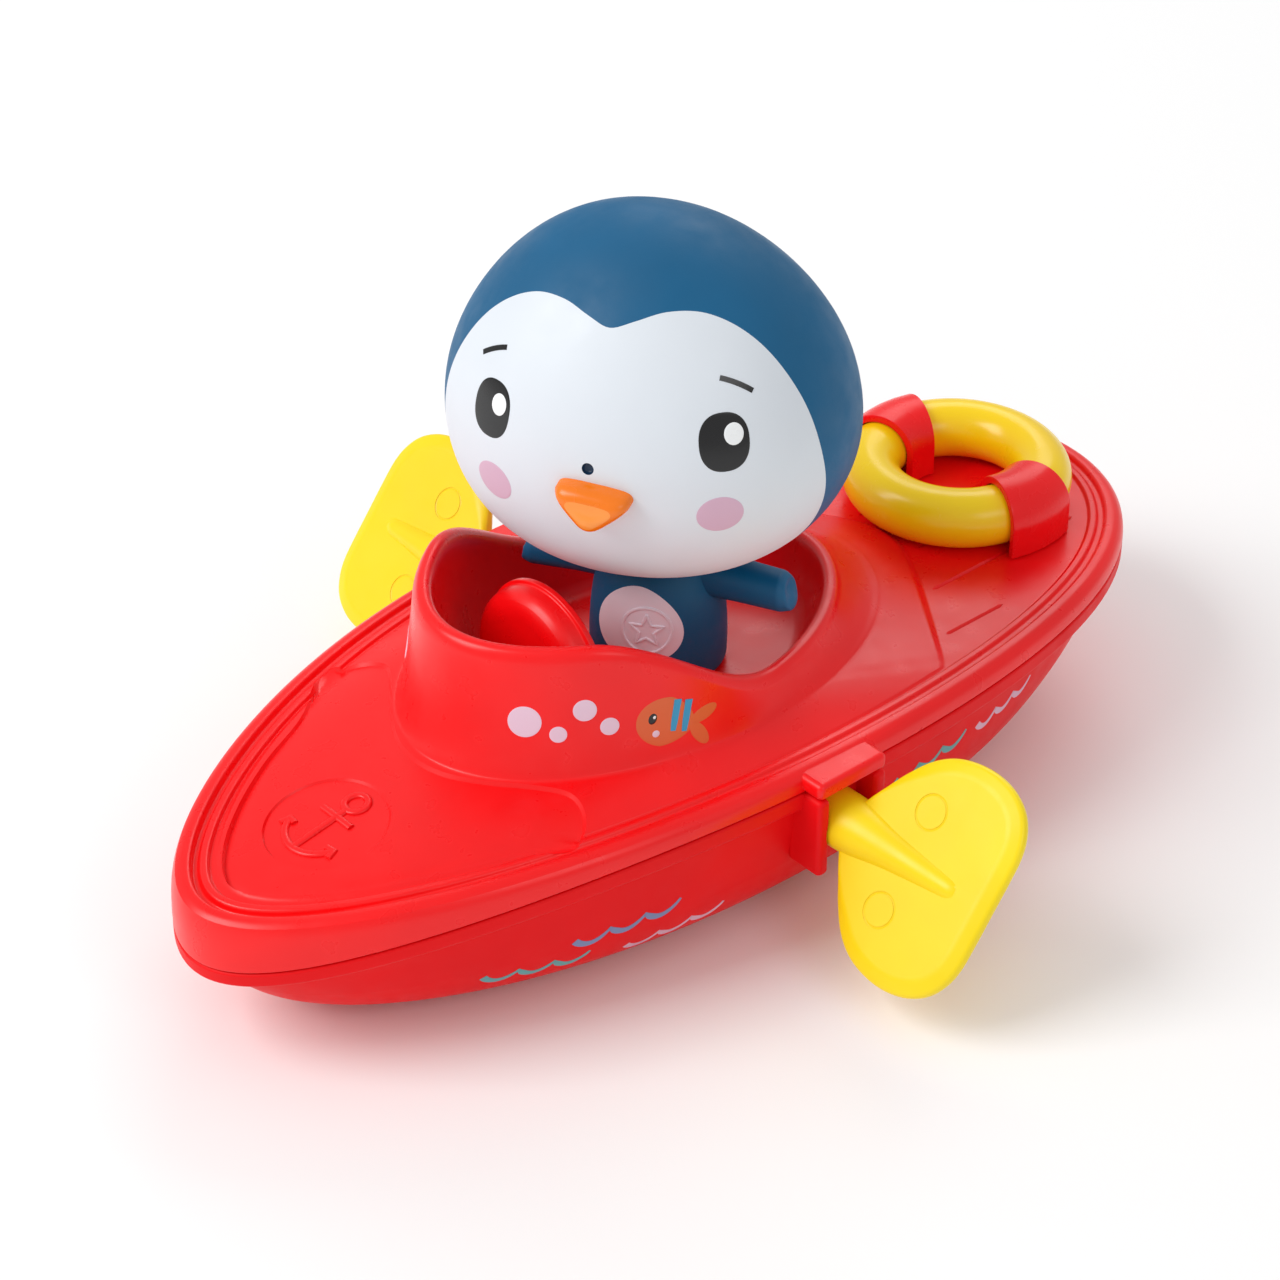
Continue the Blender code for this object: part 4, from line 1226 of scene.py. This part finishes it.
def make_belly(tree, base):
    """A pale egg-shaped belly with a small round badge that holds a star."""
    outline = []
    for turn in angles(72):
        s = math.sin(turn)
        outline.append((9.1 * math.cos(turn) * (1 - 0.16 * s), 7.7 * s))

    def on_body(arc, rise, lift):
        """Wraps the flat outline round the body."""
        out = level_way(FIGURE_TURN + arc / 12.9)
        start = Vector((FIGURE_X, 0, base + 13.9 + rise)) + out * 30.0
        point, _, _, _ = tree.ray_cast(start, -out, 40.0)
        return point + out * lift

    tops = [on_body(0, 0, 0.06)]
    bottoms = [on_body(0, 0, -0.15)]
    rows = 12
    for row in range(1, rows + 1):
        share = row / rows
        for a, b in outline:
            tops.append(on_body(a * share, b * share, 0.06 if row < rows else 0.03))
            bottoms.append(on_body(a * share, b * share, -0.15))
    belly = closed_patch("belly_patch", tops, bottoms, len(outline), BELLY_PINK)
    patch = body_patch(tree, math.radians(9.0), base + 13.2)
    ring = [polar(4.6, turn) for turn in angles(64) + [2 * math.pi]]
    bars = [relief("badge_ring", patch, ring, 0.28, 0.32, BELLY_PINK)]
    star = []
    for k in range(11):
        reach = 3.3 if k % 2 == 0 else 1.45
        star.append(polar(reach, math.pi / 2 + math.pi * k / 5))
    dense = []
    for (a, b), (c, d) in zip(star, star[1:]):
        dense += [(a + (c - a) * s / 4, b + (d - b) * s / 4) for s in range(4)]
    bars.append(relief("badge_star", patch, dense + [dense[0]], 0.26, 0.32, BELLY_PINK))
    badge = join(bars)
    badge.name = "belly_badge"
    return [belly, badge]


HEAD_ROLL = math.radians(3.0)
HEAD_POWER = 2.08


def head_reach(direction):
    """Distance from the head's centre to its surface: an egg, deeper in front and narrower at the crown."""
    x, y, z = Matrix.Rotation(-HEAD_ROLL, 3, "X") @ direction
    deep = HEAD_HALF[0] if x > 0 else HEAD_BACK
    reach = 34.0
    for _ in range(12):
        height = reach * z / HEAD_HALF[2]
        narrow = 1.0 - 0.05 * max(height, 0.0) ** 2 - 0.10 * height
        ratios = (abs(x) / (deep * narrow), abs(y) / (HEAD_HALF[1] * narrow), abs(z) / HEAD_HALF[2])
        reach = sum(ratio**HEAD_POWER for ratio in ratios) ** (-1.0 / HEAD_POWER)
    return reach


def head_point(direction):
    place = direction * head_reach(direction) + Vector((1.0, 0, PARTING_Z + HEAD_Z))
    return head_frame() @ place


FACE_EDGE = (
    # degrees round from the crown, degrees out from the middle of the face
    *((0, 45.5), (10, 49.0), (20, 55.0), (32, 60.5), (48, 64.0), (70, 66.0)),
    *((90, 68.3), (112, 73.0), (132, 74.5), (150, 67.0), (165, 57.5), (180, 53.0)),
)


def face_direction(out, around):
    """Direction out radians from the face's middle, around radians from the crown towards the left cheek."""
    local = Vector((math.cos(out), math.sin(out) * math.sin(around), math.sin(out) * math.cos(around)))
    return Matrix.Rotation(FACE_YAW, 3, "Z") @ local


def make_head():
    inside = 40
    outside = 52
    rounds = angles(216)
    edges = []
    for around in rounds:
        degrees = math.degrees(around)
        edges.append(math.radians(between(FACE_EDGE, 360 - degrees if degrees > 180 else degrees)))
    rings = []
    slots = []
    for row in range(1, inside + outside):
        ring = []
        for around, edge in zip(rounds, edges):
            if row <= inside:
                out = edge * row / inside
            else:
                out = edge + (math.pi - edge) * (row - inside) / outside
            ring.append(head_point(face_direction(out, around)))
        rings.append(ring)
        slots.append(0 if row < inside else 1)
    head = skin("figure_head_shape", rings, FACE_WHITE, VINYL_NAVY, slots=slots)
    tree = tree_of(head)
    neck = figure_frame() @ Matrix.Translation((0, 0, PARTING_Z + 22.0))
    combine(head, rod(6.25, 0, 12.0, neck, 64, VINYL_NAVY), "DIFFERENCE")
    spot = face_patch(tree, math.radians(-2.4), 0.6)
    dimple = rounded_profile(((0, -0.9), (0.95, -0.9), (1.3, 1.0), (0, 1.0)), (0, 0.7, 0, 0))
    turn = Matrix((spot.across, spot.up, spot.out)).transposed().to_4x4()
    # The dimple's walls take the darkened navy, which is painted shade in the hole.
    nostril = turned("nostril", dimple, Matrix.Translation(spot.centre) @ turn, 40, NOSTRIL_NAVY_AND_SHADE)
    combine(head, nostril, "DIFFERENCE")
    finish_piece(head, "head", ["figure_head"], weighted=False)
    make_face(tree)


def face_patch(tree, azimuth, height):
    """A patch on the face at an angle round from its middle, and a height from the head's centre."""
    level = level_way(azimuth + FACE_YAW)
    middle = head_frame() @ Vector((1.0, 0, PARTING_Z + HEAD_Z + height))
    out = (head_frame().to_3x3() @ level).normalized()
    point, normal, _, _ = tree.ray_cast(middle + out * 70.0, -out, 80.0)
    if normal.dot(out) < 0:
        normal = -normal
    return Patch(tree, point, normal, head_frame().to_3x3() @ UP)


def make_face(tree):
    marks = []
    for side in (1, -1):
        patch = face_patch(tree, math.radians(side * 38.8), 6.0)
        marks.append(oval_print("eye", patch, (4.5, 5.3), EYE_BLACK, power=2.35, count=64, lift=0.06))
        glint = oval_print("glint", patch, (1.75, 2.0), EYE_WHITE, (1.75, 1.35), count=32, lift=0.10, rings=4)
        marks.append(glint)
        patch = face_patch(tree, math.radians(side * 45.6), 14.9)
        brow = []
        for k in range(13):
            a = -2.7 + 5.4 * (k / 12)
            brow.append((side * a, 0.3 - 0.60 * a - 0.035 * a * a))
        marks.append(stroke("brow", patch, brow, [0.95] * 13, EYE_BLACK, lift=0.06))
        patch = face_patch(tree, math.radians(side * 36.7), -7.8)
        marks.append(oval_print("cheek", patch, (4.2, 3.7), CHEEK_PINK, lift=0.06))
    finish_prints(marks, "face_prints", "head")
    make_beak(tree)


BEAK_OUTLINE = ((0.0, -3.4), (1.9, -2.8), (4.2, -0.8), (6.2, 1.3), (6.9, 2.8), (6.0, 4.0), (3.3, 4.5), (0.0, 4.6))
BEAK_LEAN = math.radians(-5.0)
# distance out from the face, scale of the outline, corner radius
BEAK_STEPS = ((-3.0, 1.0, 0.0), (1.6, 1.0, 0.0), (3.4, 0.88, 1.1), (4.2, 0.64, 0.9), (4.4, 0.2, 0.0))


def make_beak(tree):
    """A short triangular beak on its tip, with rounded corners and a flat front coloured paler as a painted
    highlight.
    """
    base = face_patch(tree, math.radians(-0.6), -6.6)
    whole = list(BEAK_OUTLINE) + [(-a, b) for a, b in reversed(BEAK_OUTLINE[1:-1])]
    lean = Matrix.Rotation(BEAK_LEAN, 2)
    outline = [tuple(lean @ p) for p in curve_through(whole, 8)]
    pairs = []
    for reach, scale, radius in BEAK_STEPS:
        ring = []
        for a, b in outline:
            # The outline's low end stands further out than its upper edge
            forward = reach + (0.10 * -b if reach > 0 else 0.0)
            ring.append(base.centre + base.across * (a * scale) + base.up * (b * scale) + base.out * forward)
        pairs.append((ring, radius))
    rings = soften(pairs, 5)
    # The front rows take the paler orange, which is a painted highlight.
    slots = [0 if row < len(rings) - 4 else 1 for row in range(len(rings))]
    beak = skin("beak_shape", rings, BEAK_ORANGE, BEAK_PAINTED_HIGHLIGHT, slots=slots)
    finish_piece(beak, "head", sharp=60.0, weighted=False)


# ---- inner parts

INNER = {
    STEEL: ("axle", "idler_pin", "spring_arbor", "case_screw_1", "case_screw_2"),
    SPRING_STEEL: ("mainspring",),
    GEAR_WHITE: ("axle_pinion", "idler_gear", "spring_barrel"),
    CASE_GREY: ("motor_case_port", "motor_case_starboard"),
    SEAL_BLACK: ("axle_seal_port", "axle_seal_starboard"),
}


def dress_inner_parts():
    for material, names in INNER.items():
        for name in names:
            dress(frame["nodes"][name], material)
    for k in range(4):
        dress(frame["nodes"]["hull_screw_%d" % (k + 1)], STEEL)


def dress(node, material):
    node.data.materials.clear()
    node.data.materials.append(material)


# ---- studio


def area_light(name, place, target, size, power):
    light = bpy.data.lights.new(name, "AREA")
    light.shape = "RECTANGLE"
    light.size, light.size_y = size
    light.energy = power
    obj = new_object(name, light)
    obj.location = place
    obj.rotation_euler = (Vector(target) - Vector(place)).to_track_quat("-Z", "Y").to_euler()


FLOOR_REACH = 6.0
CAMERA_TURN = math.radians(48.5)
CAMERA_RISE = math.radians(34.6)
CAMERA_DISTANCE = 0.7
CAMERA_AIM = Vector((-6.7, -14.5, 27.7)) * MM


def make_studio():
    floor_mesh = bpy.data.meshes.new("floor")
    corners = [(x * FLOOR_REACH, y * FLOOR_REACH, 0) for x, y in ((-1, -1), (1, -1), (1, 1), (-1, 1))]
    floor_mesh.from_pydata(corners, [], [(0, 1, 2, 3)])
    floor = new_object("floor", floor_mesh)
    floor.location.z = -0.0002
    pale, nodes, _ = new_material("pale_floor")
    nodes["Principled BSDF"].inputs["Base Color"].default_value = (0.97, 0.97, 0.97, 1)
    nodes["Principled BSDF"].inputs["Roughness"].default_value = 0.9
    floor_mesh.materials.append(pale)
    world = bpy.data.worlds.new("studio")
    bpy.context.scene.world = world
    world.use_nodes = True
    world.node_tree.nodes["Background"].inputs["Color"].default_value = (1, 1, 1, 1)
    world.node_tree.nodes["Background"].inputs["Strength"].default_value = 0.56
    area_light("key", (0.95, -0.45, 1.05), (0, 0, 0.03), (0.8, 0.8), 12.0)
    area_light("back", (-0.9, -0.6, 1.0), (0, 0, 0.05), (0.9, 0.6), 4.0)
    area_light("fill", (0.1, 1.3, 1.0), (0, 0, 0.05), (0.7, 0.5), 2.2)
    bpy.context.scene.view_settings.view_transform = "Standard"


def make_camera():
    level = level_way(CAMERA_TURN)
    back = level * math.cos(CAMERA_RISE) + UP * math.sin(CAMERA_RISE)
    right = Vector((-level.y, level.x, 0))
    data = bpy.data.cameras.new("camera")
    data.sensor_width = 36.0
    data.lens = 101.2
    data.clip_start = 0.01
    camera = new_object("camera", data)
    facing = Matrix((right, back.cross(right), back)).transposed().to_4x4()
    camera.matrix_world = Matrix.Translation(CAMERA_AIM + back * CAMERA_DISTANCE) @ facing
    bpy.context.scene.camera = camera


# ---- main


def main():
    make_camera()
    make_studio()
    dress_inner_parts()
    hull = make_hull()
    hull_tree = tree_of(hull)
    finish_piece(hull, "boat", ["hull"])
    make_waves(hull_tree)
    deck = make_deck()
    deck_tree = tree_of(deck)
    finish_piece(deck, "boat", ["deck"])
    emblem = Patch(deck_tree, (BADGE_X, 0.0, 38.0), UP, Vector((-1, 0, 0)))
    anchor = [relief("anchor", emblem, path, 0.7, 0.5, DECK_RED) for path in anchor_bars(17.0)]
    finish_prints(anchor, "bow_anchor", "boat")
    make_cowl_prints(deck_tree)
    make_console()
    make_buoy()
    for name, side in (("paddle_port", 1), ("paddle_starboard", -1)):
        finish_piece(make_paddle(name + "_wheel", side), "paddle_wheels", [name])
    make_body()
    make_head()


main()
